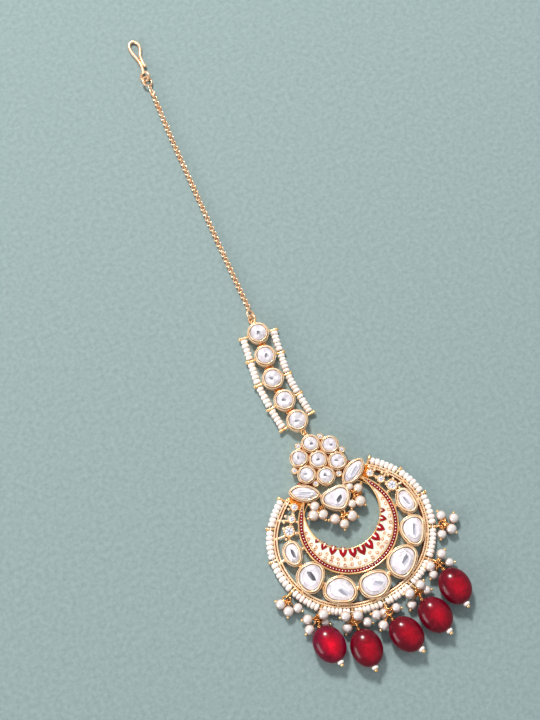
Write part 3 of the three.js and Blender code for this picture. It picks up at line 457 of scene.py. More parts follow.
def sweep(piece, curve, profile, material, closed=True, sway=None):
    """Moves a profile of (out, height) pairs round a plane curve that runs counter-clockwise."""
    ahead = np.roll(curve, -1, 0) - np.roll(curve, 1, 0)
    if not closed:
        ahead[0], ahead[-1] = curve[1] - curve[0], curve[-1] - curve[-2]
    normals = np.stack([ahead[:, 1], -ahead[:, 0]], 1)
    normals /= np.linalg.norm(normals, axis=1)[:, None]
    sway = np.zeros(len(curve)) if sway is None else sway
    rows = []
    for at, normal, extra in zip(curve, normals, sway):
        rows.append([[*(at + normal * (out + extra)), z] for out, z in profile])
    faces = grid_faces(len(curve), len(profile), closed, False)
    if not closed:
        faces += end_faces(len(curve), len(profile))
    piece.add(rows, [face[::-1] for face in faces], material)


# ---- stones and settings


def gem(x, y, long, wide, turn, height, **more):
    """A stone's place, size, turn and height, and what else sets its shape apart."""
    return {"x": x, "y": y, "long": long, "wide": wide, "turn": turn, "height": height, **more}


def patch(x, y, long, wide, turn, shade):
    """Dark patch in a stone, a painted reflection, its place and turn counted from the stone's."""
    return {"x": x, "y": y, "long": long, "wide": wide, "turn": turn, "shade": shade}


def outline(stone, grow, count=56):
    """A stone's outline grown outwards. An egg narrows to one end, a lens has two tips."""
    c, s = circle(count)
    reach, half = stone["long"] / 2, stone["wide"] / 2
    if stone.get("lens"):
        x = (reach + grow * 1.15) * c
        y = (half + grow) * s * np.abs(s) ** 0.28
    else:
        power = stone.get("square", 1.0)
        x = (reach + grow) * np.sign(c) * np.abs(c) ** power
        y = (half + grow) * np.sign(s) * np.abs(s) ** power
        y = y * (1 - stone.get("egg", 0) * c)
    px, py = turned(x, y, math.radians(stone["turn"]))
    swell, corner = stone.get("corners", (0.0, 0.0))
    size = 1 + swell * np.cos(3 * (np.arctan2(py, px) - math.radians(corner)))
    return np.stack([stone["x"] + px * size, stone["y"] + py * size], 1)


def setting(piece, stone, wall=0.54, foot=0.12):
    """Hand-pushed gold wall round a stone, with a rolled lip, a wire below it and a thin dark line
    of painted shade just inside the wall.
    """
    curve = outline(stone, 0.0, 64 if stone["wide"] > 3 else 44)
    k = np.arange(len(curve)) / len(curve) * TURN
    sway = 0.05 * np.sin(3 * k + stone["x"]) + 0.03 * np.sin(7 * k + stone["y"])
    h = stone["height"]
    profile = [(foot, 0.02), (foot + 0.02, 0.3), (0.02, 0.42), (0.0, h - 0.75), (-0.05, h - 0.5)]
    profile += [(-0.1, h - 0.3), (-0.12, h - 0.1), (-0.2, h + 0.03), (-0.32, h + 0.05)]
    profile += [(-wall + 0.1, h - 0.02), (-wall + 0.03, h - 0.2), (-wall, h - 0.6)]
    sweep(piece, curve, profile, SOFT_GOLD, sway=sway)
    # An outer wire, and a thin dark line just inside the wall: painted shade below the lip.
    for grow, level, thick, gold in ((0.08, 0.5, 0.11, SOFT_GOLD), (-0.05, 0.38, 0.06, PAINTED_SHADE_GOLD)):
        line = outline(stone, grow, len(curve))
        tube(piece, at_height(line, h - level), thick, gold, 6, closed=True)


def cut_stone(piece, stone, paint, wall=0.54, rings=17, around=72, table=0.66, drop=0.42):
    """Flat-cut glass: a table and a ring of flat crown facets, finely divided to be coloured with
    painted reflections and shade.
    """
    top = stone["height"] + 0.1
    edge = outline(stone, -wall + 0.03, around)
    middle = np.array([stone["x"], stone["y"]])
    angles = np.arange(around) / around * TURN
    sector = TURN / stone.get("facets", 12)
    flatness = np.cos(angles % sector - sector / 2) / math.cos(sector / 2)
    shares = np.concatenate([np.linspace(0.03, 0.94, rings), [1.0]])
    rows = []
    for share in shares:
        slope = np.clip(share * flatness - table, 0, None) / (1 - table)
        rows.append(at_height(middle + (edge - middle) * share, top - drop * slope))
    rows.append(at_height(edge, top - drop - 0.7))
    faces = [face[::-1] for face in grid_faces(len(rows), around)]
    shades = []
    for i in range(len(rows) - 1):
        share = (shares[i] + shares[min(i + 1, len(shares) - 1)]) / 2
        for j in range(around):
            shades.append(paint(share, angles[j], middle + (edge[j] - middle) * share))
    faces.append(tuple(range(around)))
    shades.append(paint(0.0, 0.0, middle))
    piece.add(rows, faces, STONE, flat=True, shades=shades)


def reflection_paint(stone, depth=0.28, play=0.09, blunt=False):
    """Colours of a wide stone: soft facet tones and a dark patch, both painted reflections, one
    side painted a little lighter, grey lines along the edge, a painted highlight beside the
    patch and painted shade at the edge. Depth is how dark the lines are and play how far the
    tones differ. A blunt patch is rounded."""
    spot = stone["patch"]
    turn = math.radians(stone["turn"] + spot["turn"])
    middle = np.array([stone["x"] + spot["x"], stone["y"] + spot["y"]])
    tip = math.radians(stone["turn"])
    phases = rng.uniform(0, TURN, 5)
    tones = rng.uniform(-0.2, 0.05, 12)
    wedges = rng.uniform(-play, play, 7)
    base = 0.74 if blunt else 0.86
    # Share of the way to the edge, length in radians and start of each grey line
    lines = ((0.68, 1.8, phases[2]), (0.86, 2.8, phases[3]), (0.45, 1.2, phases[4]))
    # Distance from the long axis and half width of each streak in a lens
    streaks = ((0.62, 0.07), (-0.5, 0.06), (0.2, 0.04), (-0.95, 0.08))

    def paint(share, angle, at):
        # One side painted a little lighter than the other, as shading.
        v = base + 0.04 * math.sin(angle + phases[0])
        # Facet tones: painted reflections.
        if share > 0.68:
            v += tones[int(angle / (TURN) * 12) % 12]
        elif share > 0.2:
            v += wedges[int((angle + phases[1]) / (TURN) * 7) % 7]
        for line, reach, start in lines:
            if abs(share - line) < 0.028 and (angle - start) % (TURN) < reach:
                v -= depth
        if stone.get("lens"):
            _, level = turned(*(at - [stone["x"], stone["y"]]), -tip)
            for height, reach in streaks:
                if abs(level - height) < reach * 1.3 and share < 0.9:
                    v -= 0.34
        along, aside = turned(*(at - middle), -turn)
        along, aside = along / (spot["long"] / 2), aside / (spot["wide"] / 2)
        lean = along - 0.35 * aside
        if blunt:
            bulge = 0.95 + 0.14 * math.cos(3 * math.atan2(aside, along) + phases[2])
            inside = math.hypot(along, aside) < bulge
        else:
            inside = abs(lean) < 1 and abs(aside) < 1 - 0.25 * abs(lean)
        # Inside the dark patch: a painted reflection of dark surroundings.
        if inside:
            pale = min(2.4, 0.6 / spot["shade"])
            v = spot["shade"] * (1.0 if aside > -0.15 - 0.3 * lean else pale)
            return (v, v, v * 1.12)
        # Painted shade at the stone's edge, in the gap under the lip.
        if share > 0.96:
            return (0.24, 0.15, 0.1)
        # Painted highlight beside the patch.
        if abs(lean) < 1.1 and 0 < aside < 1.9:
            v = 0.99
        return (v * 1.01, v * 0.95, v * 0.985)

    return paint


def star_reflection_paint():
    """Colours of a small brilliant: blue-grey rays and a dark middle, painted reflections."""
    phase = rng.uniform(0, TURN)

    def paint(share, angle, at):
        v = 0.92
        if share < 0.24:
            v = 0.3
        elif share < 0.78:
            v -= 0.6 * abs(math.sin(2.5 * angle + phase)) ** 4
        return (v * 0.95, v * 0.96, v * 1.05)

    return paint


def round_stone(piece, x, y, radius, height, inset, spot):
    """Round flat-cut stone with a painted reflection, an uneven dark patch of the given size
    beside its middle.
    """
    away = rng.uniform(-0.25, 0.25, 2) * radius * 0.5
    shade, turn = rng.uniform(0.1, 0.26), rng.uniform(0, 180)
    stone = gem(x, y, 2 * radius, 2 * radius, rng.uniform(0, 90), height, facets=10)
    stone["patch"] = patch(*away, spot, spot * rng.uniform(0.75, 0.95), turn, shade)
    cut_stone(piece, stone, reflection_paint(stone, 0.34, 0.2, True), inset, 12, 54, 0.6, 0.3)


def beaded_cup(piece, x, y, radius, height):
    """Small stone in a beaded cup."""
    profile = [(0.8, 0.05), (0.86, height * 0.5), (1.0, height * 0.72), (0.98, height)]
    profile += [(0.76, height + 0.06), (0.68, height - 0.15)]
    profile = [(radius * r, z) for r, z in profile]
    lathe(piece, (x, y, 0), (0, 0, 1), profile, GOLD, 18)
    stone = gem(x, y, radius * 1.72, radius * 1.72, 0, height + 0.12, facets=8)
    cut_stone(piece, stone, star_reflection_paint(), 0.08, 6, 32, 0.55, 0.3)
    grains = 10 if radius > 0.8 else 8
    for k in range(grains):
        angle, out = TURN * k / grains + 0.2, radius * 0.86
        at = (x + out * math.cos(angle), y + out * math.sin(angle), height + 0.06)
        ball(piece, at, radius * 0.17, SOFT_GOLD, 6, 5)


SPAN = RIM_RADIUS - CRESCENT_RADIUS
MIDDLE = (RIM_RADIUS + CRESCENT_RADIUS) / 2 + 0.15
# Angle from straight down, reach, long, wide, turn, egg, dark patch (a painted reflection), three
# soft corners
WHITE_ROWS = [
    (-86.6, 0.99, 0.93, 0.68, 82, 0.0, patch(0.1, -0.2, 2.1, 0.85, 2, 0.09), (0.02, 40)),
    (-60.2, 1.02, 1.16, 1.0, 45, 0.08, patch(0.2, 0.0, 2.5, 1.25, -133, 0.08), (0.05, 15)),
    (-32.5, 1.04, 1.24, 1.0, 152, 0.06, patch(0.5, -0.9, 2.4, 1.3, -34, 0.36), (0.05, 65)),
    (-1.8, 1.015, 0.98, 1.2, 90, 0.1, patch(0.68, -0.3, 2.1, 1.3, -125, 0.42), (0.05, 25)),
    (30.1, 1.01, 1.27, 1.03, 33, 0.0, patch(0.7, -0.2, 2.4, 1.3, 2, 0.24), (0.05, 15)),
    (59.8, 1.01, 1.14, 0.9, 250, 0.08, patch(0.2, -0.2, 2.9, 0.8, -187, 0.3), (0.06, 30)),
    (87.2, 0.98, 1.0, 0.67, 97, 0.04, patch(0.0, -0.1, 2.4, 0.7, 5, 0.34), (0.02, 60)),
]
WHITE_STONES = []
for angle, reach, long, wide, turn, egg, spot, corners in WHITE_ROWS:
    x, y, _ = MIDDLE * reach * downward(angle)
    shape = {"egg": egg, "corners": corners, "square": 0.94, "patch": spot}
    WHITE_STONES.append(gem(x, y, SPAN * long, SPAN * wide, turn, WHITE_HEIGHT, **shape))

FLOWER_CUPS = [FLOWER]
for k in range(6):
    a = math.radians(90 + 60 * k)
    cup_x = FLOWER[0] + CUP_STEP * 1.08 * math.cos(a)
    FLOWER_CUPS.append((cup_x, FLOWER[1] + CUP_STEP * math.sin(a)))

PEAR_REFLECTION = patch(0.42, -0.45, 1.8, 1.05, 116, 0.07)
PEAR = gem(0.05, 6.7, 5.6, 7.0, -90, TOP_HEIGHT, egg=0.1, corners=(0.06, 35), patch=PEAR_REFLECTION)


def marquise(side):
    spot = patch(0.1, -0.1, 3.0, 0.7, 4, 0.44)
    return gem(side * 6.5, 11.0, 7.3, 3.9, side * 30, TOP_HEIGHT, lens=True, patch=spot)


# Angle from straight down and the rim's reach there, as a share of its radius
RIM_ROWS = [(0, 1.0), (22, 1.018), (45, 1.04), (67, 1.027), (90, 0.995), (106, 0.957)]
RIM_ROWS += [(124, 0.895), (RIM_END, 0.853)]
RIM_ANGLES, RIM_SHARES = smooth_path(RIM_ROWS, 200).T


def rim_point(angle, out, z):
    """Place on the rim's middle line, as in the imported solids."""
    angle = max(-RIM_END, min(angle, RIM_END))
    reach = np.interp(abs(angle), RIM_ANGLES, RIM_SHARES) * RIM_RADIUS + out
    return downward(angle) * reach + [-0.35, -0.6, z]


def rim_line(low, high, count, out, z):
    return np.array([rim_point(a, out, z) for a in np.linspace(low, high, count)])


# ---- pendant metal

pendant = Piece()

# Rim: a beaded outer wire, a groove painted dark as shade and a plain inner wire
rim_profile = [(-0.53, 1.0), (-0.5, 0.02), (0.5, 0.02), (0.56, 0.5), (0.55, 1.0), (0.45, 1.22)]
rim_profile += [(0.3, 1.28), (0.17, 1.16), (0.11, 0.95), (-0.11, 0.95), (-0.17, 1.2)]
rim_profile += [(-0.3, 1.46), (-0.44, 1.42), (-0.54, 1.2), (-0.53, 1.0)]
rim_curve = rim_line(-RIM_END, RIM_END, 150, 0, 0)[:, :2]
sweep(pendant, rim_curve, rim_profile, SOFT_GOLD, closed=False)
# Inner wall and groove in dark gold as painted shade, and the grains that stand in the groove
for low, high, slope in ((-RIM_END, -40, 0.1), (-40, RIM_END, 0.28)):
    wall = [(-0.54, 1.25), (-0.54 - slope / 2, 0.95), (-0.54 - slope, 0.3), (-0.54 - slope, 0.02)]
    sweep(pendant, rim_line(low, high, 80, 0, 0)[:, :2], wall, PAINTED_SHADE_GOLD, closed=False)
tube(pendant, rim_line(-139, 139, 160, 0, 0.98), 0.15, PAINTED_SHADE_GOLD, 6)
for at in rim_line(-75, 138, 132, 0, 1.08):
    ball(pendant, at, 0.13, SOFT_GOLD, 7, 5)
for side in (-1, 1):
    ball(pendant, rim_point(side * RIM_END, 0.0, 0.85), 0.62, GOLD, 12, 8)

# Settings of the white, flower, marquise and pear stones
for stone in WHITE_STONES:
    setting(pendant, stone)
for x, y in FLOWER_CUPS:
    setting(pendant, gem(x, y, CUP, CUP, 0, CUP_HEIGHT), CUP_WALL, 0.05)
for side in (-1, 1):
    setting(pendant, marquise(side), CUP_WALL)
setting(pendant, PEAR, PEAR_WALL)

# Small stones in the notches of the flower
for x, y in ((-6.3, 17.1), (6.4, 17.1), (-2.95, 12.1), (3.2, 12.1), (-2.9, 22.2), (3.0, 22.2)):
    beaded_cup(pendant, x, y, 0.78, 2.1)

# Stones of the shoulders, with grains and bars between them
SHOULDER_GRAINS = [(12.9, 8.0, 0.4), (11.5, 9.3, 0.34), (12.5, 5.0, 0.32), (14.6, 5.5, 0.38)]
SHOULDER_GRAINS += [(13.9, 6.8, 0.36), (15.1, 2.9, 0.34), (12.35, 3.3, 0.36)]
SHOULDER_GRAINS += [(11.0, 7.4, 0.3), (12.1, 9.9, 0.3)]


def shoulder(share):
    """Place between a shoulder's first and last stone, on the right side."""
    return [low + (high - low) * share for low, high in (SHOULDER_X, SHOULDER_Y)]


for side in (-1, 1):
    for share, size in ((0.1, 1.4), (0.55, 1.0), (1.0, 1.0)):
        x, y = shoulder(share)
        beaded_cup(pendant, side * x, y, size, SHOULDER_HEIGHT)
    for x, y, r in SHOULDER_GRAINS:
        ball(pendant, (side * x, y, 1.3), r, SOFT_GOLD, 10, 7)


def bar(x1, y1, x2, y2, r=0.34, z=0.9, grain=0.0):
    """Bar that thickens to its ends, with a grain on its middle if it has a size."""
    share = np.linspace(0, 1, max(4, int(math.hypot(x2 - x1, y2 - y1) / 0.5)))
    path = np.column_stack([x1 + (x2 - x1) * share, y1 + (y2 - y1) * share])
    tube(pendant, at_height(path, z), r * (1 + 0.35 * np.abs(2 * share - 1) ** 3), SOFT_GOLD)
    if grain:
        ball(pendant, ((x1 + x2) / 2, (y1 + y2) / 2, z + 0.2), grain, SOFT_GOLD, 10, 7)


for stone, row in zip(WHITE_STONES, WHITE_ROWS):
    inner = 11.6 * downward(row[0])[:2]
    outer = rim_point(row[0], 0, 0)[:2]
    bar(*inner, stone["x"], stone["y"])
    bar(stone["x"], stone["y"], *outer)
    reach = outline(stone, 0.15, 36)
    for target, r in ((inner, 0.4), (outer, 0.34)):
        near = reach[np.argmin(np.hypot(*(reach - target).T))]
        ball(pendant, (*near, 1.15), r, GOLD, 10, 7)
for low, high in zip(WHITE_STONES[:-1], WHITE_STONES[1:]):
    bar(low["x"], low["y"], high["x"], high["y"], 0.36, 1.0)
    a, b = outline(low, 0.1, 36), outline(high, 0.1, 36)
    gaps = np.linalg.norm(a[:, None] - b[None], axis=2)
    i, j = np.unravel_index(np.argmin(gaps), gaps.shape)
    ball(pendant, (*(a[i] + b[j]) / 2, 1.25), 0.42, GOLD, 10, 7)
for side, last in ((-1, WHITE_STONES[0]), (1, WHITE_STONES[-1])):
    bar(last["x"], last["y"], side * SHOULDER_X[0], SHOULDER_Y[0])
    bar(side * SHOULDER_X[0], SHOULDER_Y[0], side * SHOULDER_X[1], SHOULDER_Y[1])
    for angle, share in ((105, 0.0), (120, 0.5), (136, 1.0)):
        x, y = shoulder(share)
        bar(side * x, y, *rim_point(side * angle, 0, 0)[:2], 0.3, grain=0.32)
    bar(side * SHOULDER_X[0], SHOULDER_Y[0], side * 11.5, 2.96, 0.3)
    bar(side * 12.1, 6.4, side * 10.4, 5.3, 0.28)
    bar(side * SHOULDER_X[1], SHOULDER_Y[1], side * 8.7, 8.0, 0.3)


def plate_at(x, y, long, wide, turn, height, material, lens=False):
    """Low plate with a soft edge under the settings."""
    curve = outline(gem(x, y, long, wide, turn, height, lens=lens), 0, 28)
    reach = -min(long, wide) / 2 + 0.1
    steps = [(0, 0.03), (0.03, height - 0.35), (-0.15, height - 0.08), (-0.5, height)]
    sweep(pendant, curve, [*steps, (reach, height)], material)


# Plate below the flower's cups, painted dark as shade between them; under the marquise stones dark
# plates, painted shade in the gaps, and orange ones
plate = outline(gem(*FLOWER, 10.9, 10.9, 0, 0), 0, 48)
steps = [(0, 0.03), (0.05, 0.5), (0.0, 1.5), (-0.4, 1.75), (-5.3, 1.8)]
sweep(pendant, plate, steps, PAINTED_SHADE_PLATE_GOLD)
for side in (-1, 1):
    plate_at(side * 5.3, 12.6, 4.6, 2.8, side * 30, 1.7, PAINTED_SHADE_GOLD, True)
    plate_at(side * 9.0, 9.9, 4.0, 2.6, side * 60, 1.7, DEEP_GOLD)
    plate_at(side * 8.3, 9.5, 2.8, 2.0, side * 20, 2.0, DEEP_GOLD)
    bar(side * 3.3, 9.2, side * 2.6, 8.3, 0.36, 1.2)

# Posts between the seed beads, and eyelets on the lowest ones
POSTS = [0, 22.5, 43.7, 66, 90, 113.4, 137.7]
POST_ANGLES = [-a for a in POSTS[:0:-1]] + POSTS
for angle in POST_ANGLES:
    foot, tip = rim_point(angle, 0.3, 0.75), rim_point(angle, POST_OUT, 0.75)
    path = np.array([foot + (tip - foot) * s for s in np.linspace(0, 1, 5)])
    tube(pendant, path, [0.3, 0.3, 0.32, 0.34, 0.42], GOLD, 10)
    # A dark squashed ball at the tip: painted shade in the post's hole.
    ball(pendant, tip, 0.42, PAINTED_SHADE_GOLD, 12, 8, 0.7, tip - foot)
    ring(pendant, tip + unit(tip - foot) * 0.12, 0.36, 0.15, tip - foot, GOLD, 14, 7)
    if abs(angle) <= POSTS[3]:
        face = rim_point(angle + 1, 0, 0) - rim_point(angle - 1, 0, 0)
        ring(pendant, rim_point(angle, EYELET_OUT, 0.9), 0.66, 0.19, face, GOLD, 16, 8)

# Small loops: above the flower and below the pear stone
TOP_LOOP = (FLOWER[0], FLOWER[1] + CUP_STEP + CUP / 2 + LOOP + LOOP_WIRE - GAP, LOOP_Z)
small_loop(pendant, TOP_LOOP, (1, 0, 1))
PEAR_LOOPS = []
for loop_x, loop_y in ((-0.95, -0.16), (0.0, -1.0), (0.95, -0.16)):
    direction = unit((loop_x, loop_y, 0))
    at = np.array([PEAR["x"] + loop_x * 3.5, PEAR["y"] + loop_y * 2.8, LOOP_Z]) + direction * 0.68
    PEAR_LOOPS.append((at, direction))
    small_loop(pendant, at, across(-direction, 1))


# Crescent body: an outer circle and the hole's ellipse, met by rays from the hole's middle
def ray_points(phi, radius, grow):
    """Outer circle point and hole edge point in direction phi from the hole's middle."""
    d = np.array([math.cos(phi), math.sin(phi)])
    along = -HOLE @ d
    outer = HOLE + d * (along + math.sqrt(max(along**2 + radius**2 - HOLE @ HOLE, 0)))
    inner = HOLE + d / math.hypot(d[0] / (9.0 + grow), d[1] / (9.4 + grow))
    return outer, inner


def sweep_angles(limit, steps):
    """Angles of the rays from the crescent's left tip to its right tip."""
    return np.linspace(math.pi + limit, TURN - limit, steps)


def crescent_band(piece, radius, grow, top, crown, material, limit, least, rows=6, steps=120):
    """Skin between the circle and the hole, a little domed, where it is wider than least."""
    lines = []
    for phi in sweep_angles(limit, steps):
        outer, inner = ray_points(phi, radius, grow)
        if (outer - inner) @ np.array([math.cos(phi), math.sin(phi)]) < least:
            continue
        line = [[*outer, 0.05]]
        for s in np.linspace(0, 1, rows):
            line.append([*(outer + (inner - outer) * s), top + crown * math.sin(math.pi * s)])
        lines.append([*line, [*inner, 0.05]])
    piece.add(lines, [face[::-1] for face in capped_faces(len(lines), rows + 2)], material)


TIP = math.radians(-38)  # how far the tips reach above the hole's middle
# Radii of the metal body, of the red band and of the wire between it and the cream field
BODY, BAND_OUT, BAND_IN, FIELD_EDGE = 12.0, 11.86, 10.86, 10.8
ENAMEL_GROW = 0.3  # the enamel keeps this far from the hole's edge
crescent_band(pendant, BODY, 0.05, 1.6, 0.0, GOLD, TIP, 0.12)


def edge_curve(radius, grow, which):
    """The circle (0) or the hole's edge (1)."""
    return np.array([ray_points(phi, radius, grow)[which] for phi in sweep_angles(TIP, 110)])


field = edge_curve(FIELD_EDGE, 0.35, 0), edge_curve(FIELD_EDGE, 0.35, 1)
wide_enough = np.linalg.norm(field[0] - field[1], axis=1) > 0.2
tube(pendant, at_height(edge_curve(BODY - 0.03, 0, 0), 1.95), 0.17, GOLD)
tube(pendant, at_height(edge_curve(10, 0.18, 1), 2.0), 0.2, GOLD)
tube(pendant, at_height(edge_curve(FIELD_EDGE, 0, 0)[wide_enough], 2.05), 0.09, GOLD)
wall = [(0, 0.05), (0.04, 1.0), (-0.05, 1.9)]
sweep(pendant, edge_curve(BODY + 0.05, 0, 0), wall, GOLD, closed=False)

pendant.make("pendant_metalwork", "gold", "pendant_frame")

# ---- enamel

enamel = Piece()
field_tip = math.radians(-14)
crescent_band(enamel, 10.75, ENAMEL_GROW, 1.95, 0.12, CREAM, field_tip, 0.1, 8, 130)
enamel.make("crescent_field", "cream_enamel", "crescent_enamel")

# Petals along the hole: x, y at the petal's middle and its size
PETALS = [(-8.6, -0.6, 0.5), (-7.75, -2.5, 0.75), (-6.2, -4.25, 0.9), (-4.15, -5.75, 0.96)]
PETALS += [(-1.95, -6.75, 1.0), (0.25, -7.1, 1.06), (2.45, -6.75, 1.0), (4.65, -5.7, 0.96)]
PETALS += [(6.6, -4.15, 0.9), (8.1, -2.3, 0.75), (8.9, -0.5, 0.5)]
# Left half of a petal and of its slit: share of the half width, share of the length
PETAL_HALF = [(-0.5, 0.0), (-0.95, 0.12), (-1.0, 0.42), (-0.72, 0.68), (-0.3, 0.88), (0.0, 1.0)]
SLIT_HALF = [(-0.2, 0.0), (-0.26, 0.26), (-0.2, 0.44), (0.0, 0.54)]
petals = Piece()


def petal_outline(x, y, size, half):
    away = unit(np.array([x, y]) - HOLE)
    side = across(away)[:2]
    wide, length = 0.92 * size, 2.45 * size
    base = np.array([x, y]) - away * length * 0.5
    profile = half + [(-w, t) for w, t in half[-2::-1]]
    return np.array([base + side * w * wide + away * t * length for w, t in profile])


def raised_shape(points, z, material):
    """Flat raised shape from a closed outline."""
    n = len(points)
    soft = points.mean(0) + (points - points.mean(0)) * 0.86
    rows = [at_height(points, z - 0.25), at_height(points, z), at_height(soft, z + 0.03)]
    petals.add(rows, grid_faces(3, n) + [tuple(range(2 * n, 3 * n))], material)


for x, y, size in PETALS:
    points = at_height(petal_outline(x, y, size, PETAL_HALF), 0)
    points = smooth_path(points, 34, True)[:, :2]
    raised_shape(points, 2.1, PETAL)
    # A thin dark outline round each petal, in the painted-shade gold.
    tube(petals, at_height(points, 2.1), 0.07, PAINTED_SHADE_GOLD, 5, closed=True)
    raised_shape(petal_outline(x, y, size, SLIT_HALF), 2.16, CREAM)

# Gold curls over the outer half of the cream field, with dark dots, painted shadows of small
# cavities, beside those at its left end
for k, phi in enumerate(np.linspace(math.pi - 0.1, TURN + 0.1, 27)):
    outer, inner = ray_points(phi, 10.6, 0.4)
    width = np.hypot(*(outer - inner))
    if width < 0.7:
        continue
    for share, size in ((0.19, 0.46), (0.47, 0.4)):
        if width < 2.4 and share > 0.3:
            continue
        at = outer + (inner - outer) * (share + 0.04 * rng.uniform(-1, 1))
        if share > 0.3 and min(math.hypot(at[0] - px, at[1] - py) for px, py, _ in PETALS) < 1.5:
            continue
        start, turn = rng.uniform(0, 6.28), (1 if k % 2 else -1)
        arc = np.linspace(0, 5.6, 12)
        r, angles = size * (1 - 0.1 * arc), start + turn * arc
        path = np.column_stack([at[0] + r * np.cos(angles), at[1] + r * np.sin(angles)])
        tube(petals, at_height(path, 2.08), 0.12, CURL, 5)
        if at[0] < -4.5:
            ball(petals, (at[0], at[1] + 0.2, 2.0), 0.2, PAINTED_SHADE_GOLD, 8, 5, 0.6)
petals.make("crescent_petals", "red_enamel")

# Red band along the circle, as far as it is wide enough, with a wire on both edges
band = Piece()
lines, rims = [], []
for phi in sweep_angles(math.radians(-33), 170):
    out_point, hole_edge = ray_points(phi, BAND_OUT, ENAMEL_GROW)
    in_point, _ = ray_points(phi, BAND_IN, ENAMEL_GROW)
    if np.hypot(*(out_point - hole_edge)) < np.hypot(*(out_point - in_point)):
        in_point = hole_edge
    if (out_point - hole_edge) @ (out_point - HOLE) < 0.08 * np.hypot(*(out_point - HOLE)):
        continue
    rims.append((out_point, in_point))
    steps = ((0, 1.5), (0, 1.92), (0.2, 2.02), (0.5, 2.05), (0.8, 2.02), (1, 1.92), (1, 1.5))
    lines.append([[*(out_point + (in_point - out_point) * share), z] for share, z in steps])
band.add(lines, capped_faces(len(lines), len(steps)), RED)
rims = np.array(rims)
for which in (0, 1):
    tube(band, at_height(rims[:, which], 2.03), 0.07, GOLD, 6)
widths = np.linalg.norm(rims[:, 0] - rims[:, 1], axis=1)
route = Route(rims.mean(1))
DOT_PITCH = 0.74
for way in np.arange(0.8, route.length - 0.6, DOT_PITCH):
    r = min(0.155, 0.24 * np.interp(way, route.steps, widths))
    ball(band, (*route.at(way), 2.06), r, DOT, 8, 6, 0.6)
band.make("crescent_band", "red_enamel", "band_enamel")

# ---- stones

stones = Piece()
for stone in WHITE_STONES:
    cut_stone(stones, stone, reflection_paint(stone))
for x, y in FLOWER_CUPS:
    round_stone(stones, x, y, CUP / 2, CUP_HEIGHT, CUP_WALL, 0.9)
for side in (-1, 1):
    cut_stone(stones, marquise(side), reflection_paint(marquise(side)), CUP_WALL)
cut_stone(stones, PEAR, reflection_paint(PEAR), PEAR_WALL)
names = [f"white_stone_{k}" for k in range(1, 8)] + [f"flower_stone_{k}" for k in range(1, 8)]
names += ["marquise_stone_left", "marquise_stone_right", "pear_stone"]
stones.make("pendant_stones", "white_stone", *names)

# ---- strip of five stones

STRING_Z, THREAD = 1.0, 0.14
strip_bottom = TOP_LOOP[1] + STRIP_CUP + 2 * LOOP + GAP / 2
# The stones' middles as shares of the strip's length
BEND = ((-0.0185, 0), (-0.0473, 0.2428), (-0.0597, 0.4979), (-0.0288, 0.749), (0.0062, 1))
STRIP = [
    np.array([0.05 + aside * STRIP_LENGTH, strip_bottom + up * STRIP_LENGTH]) for aside, up in BEND
]


def strip_side(i, side):
    """Place on a bead string beside a stone."""
    along = unit(STRIP[min(i + 1, 4)] - STRIP[max(i - 1, 0)])
    return STRIP[i] - side * STRIP_STRING * across(along)[:2]


# Solder between two settings: place across the strip, radius and metal
SOLDER_BALLS = [(-0.8, 0.42, WIRE_GOLD), (0.0, 0.62, DEEP_GOLD), (0.8, 0.42, WIRE_GOLD)]
strip, strip_stones = Piece(), Piece()
for i, (x, y) in enumerate(STRIP):
    setting(strip, gem(x, y, 2 * STRIP_CUP, 2 * STRIP_CUP, 0, CUP_HEIGHT), STRIP_WALL, 0.06)
    round_stone(strip_stones, x, y, STRIP_CUP, CUP_HEIGHT, STRIP_WALL, 1.15)
    for side in (-1, 1):
        end = strip_side(i, side)
        out = unit(end - STRIP[i])
        foot, tip = STRIP[i] + out * 2.3, end + out * 0.85
        post = foot + (tip - foot) * np.linspace(0, 1, 6)[:, None]
        radii = [0.36, 0.32, 0.3, 0.32, 0.36, 0.42]
        tube(strip, at_height(post, STRING_Z), radii, GOLD, 10)
        ball(strip, (*tip, STRING_Z), 0.46, GOLD, 12, 8)
        ball(strip, (*(STRIP[i] + out * 2.75), 1.5), 0.42, GOLD, 10, 7)
    if i:
        x, y = (STRIP[i] + STRIP[i - 1]) / 2
        for shift, size, gold in SOLDER_BALLS:
            ball(strip, (x + shift, y, 0.95), size, gold, 12, 8, 0.7)
loop_reach = STRIP_CUP + LOOP + LOOP_WIRE - GAP
bottom_loop = np.array([(STRIP[0][0] + TOP_LOOP[0]) / 2, STRIP[0][1] - loop_reach, LOOP_Z])
top_loop = np.array([STRIP[4][0] + 0.15, STRIP[4][1] + loop_reach, LOOP_Z])
small_loop(strip, bottom_loop, (-1, 0, 1))
small_loop(strip, top_loop, (-1, 0, 1))
strip.make("strip_metalwork", "gold", "strip_frame")
strip_stones.make("strip_stones", "white_stone", *[f"strip_stone_{k}" for k in range(1, 6)])


def fill_seeds(piece, path, count, radius, width):
    """Beads side by side along a path, with small differences."""
    route = Route(path)
    widths = width * (1 + 0.1 * rng.uniform(-1, 1, count))
    widths *= min(1.0, route.length / widths.sum())
    way = (route.length - widths.sum()) / 2
    for w in widths:
        middle = way + w / 2
        axis = route.along(middle, 0.3) + 0.07 * rng.normal(size=3)
        r = radius * (1 - 0.1 * rng.uniform(0, 1))
        seed(piece, route.at(middle) + [0, 0, r - radius], axis, r, w * 0.99, SEED)
        way += w


for side, name in ((-1, "left"), (1, "right")):
    beads = Piece()
    ends = [np.array([*strip_side(i, side), STRING_Z]) for i in range(5)]
    tube(beads, smooth_path(ends, 40), THREAD, SEED, 6)
    for low, high in zip(ends[:-1], ends[1:]):
        margin = unit(high - low) * 0.4
        fill_seeds(beads, [low + margin, high - margin], 5, 0.97, 1.12)
    beads.make(f"strip_beads_{name}", "seed_bead", f"strip_string_{name}")

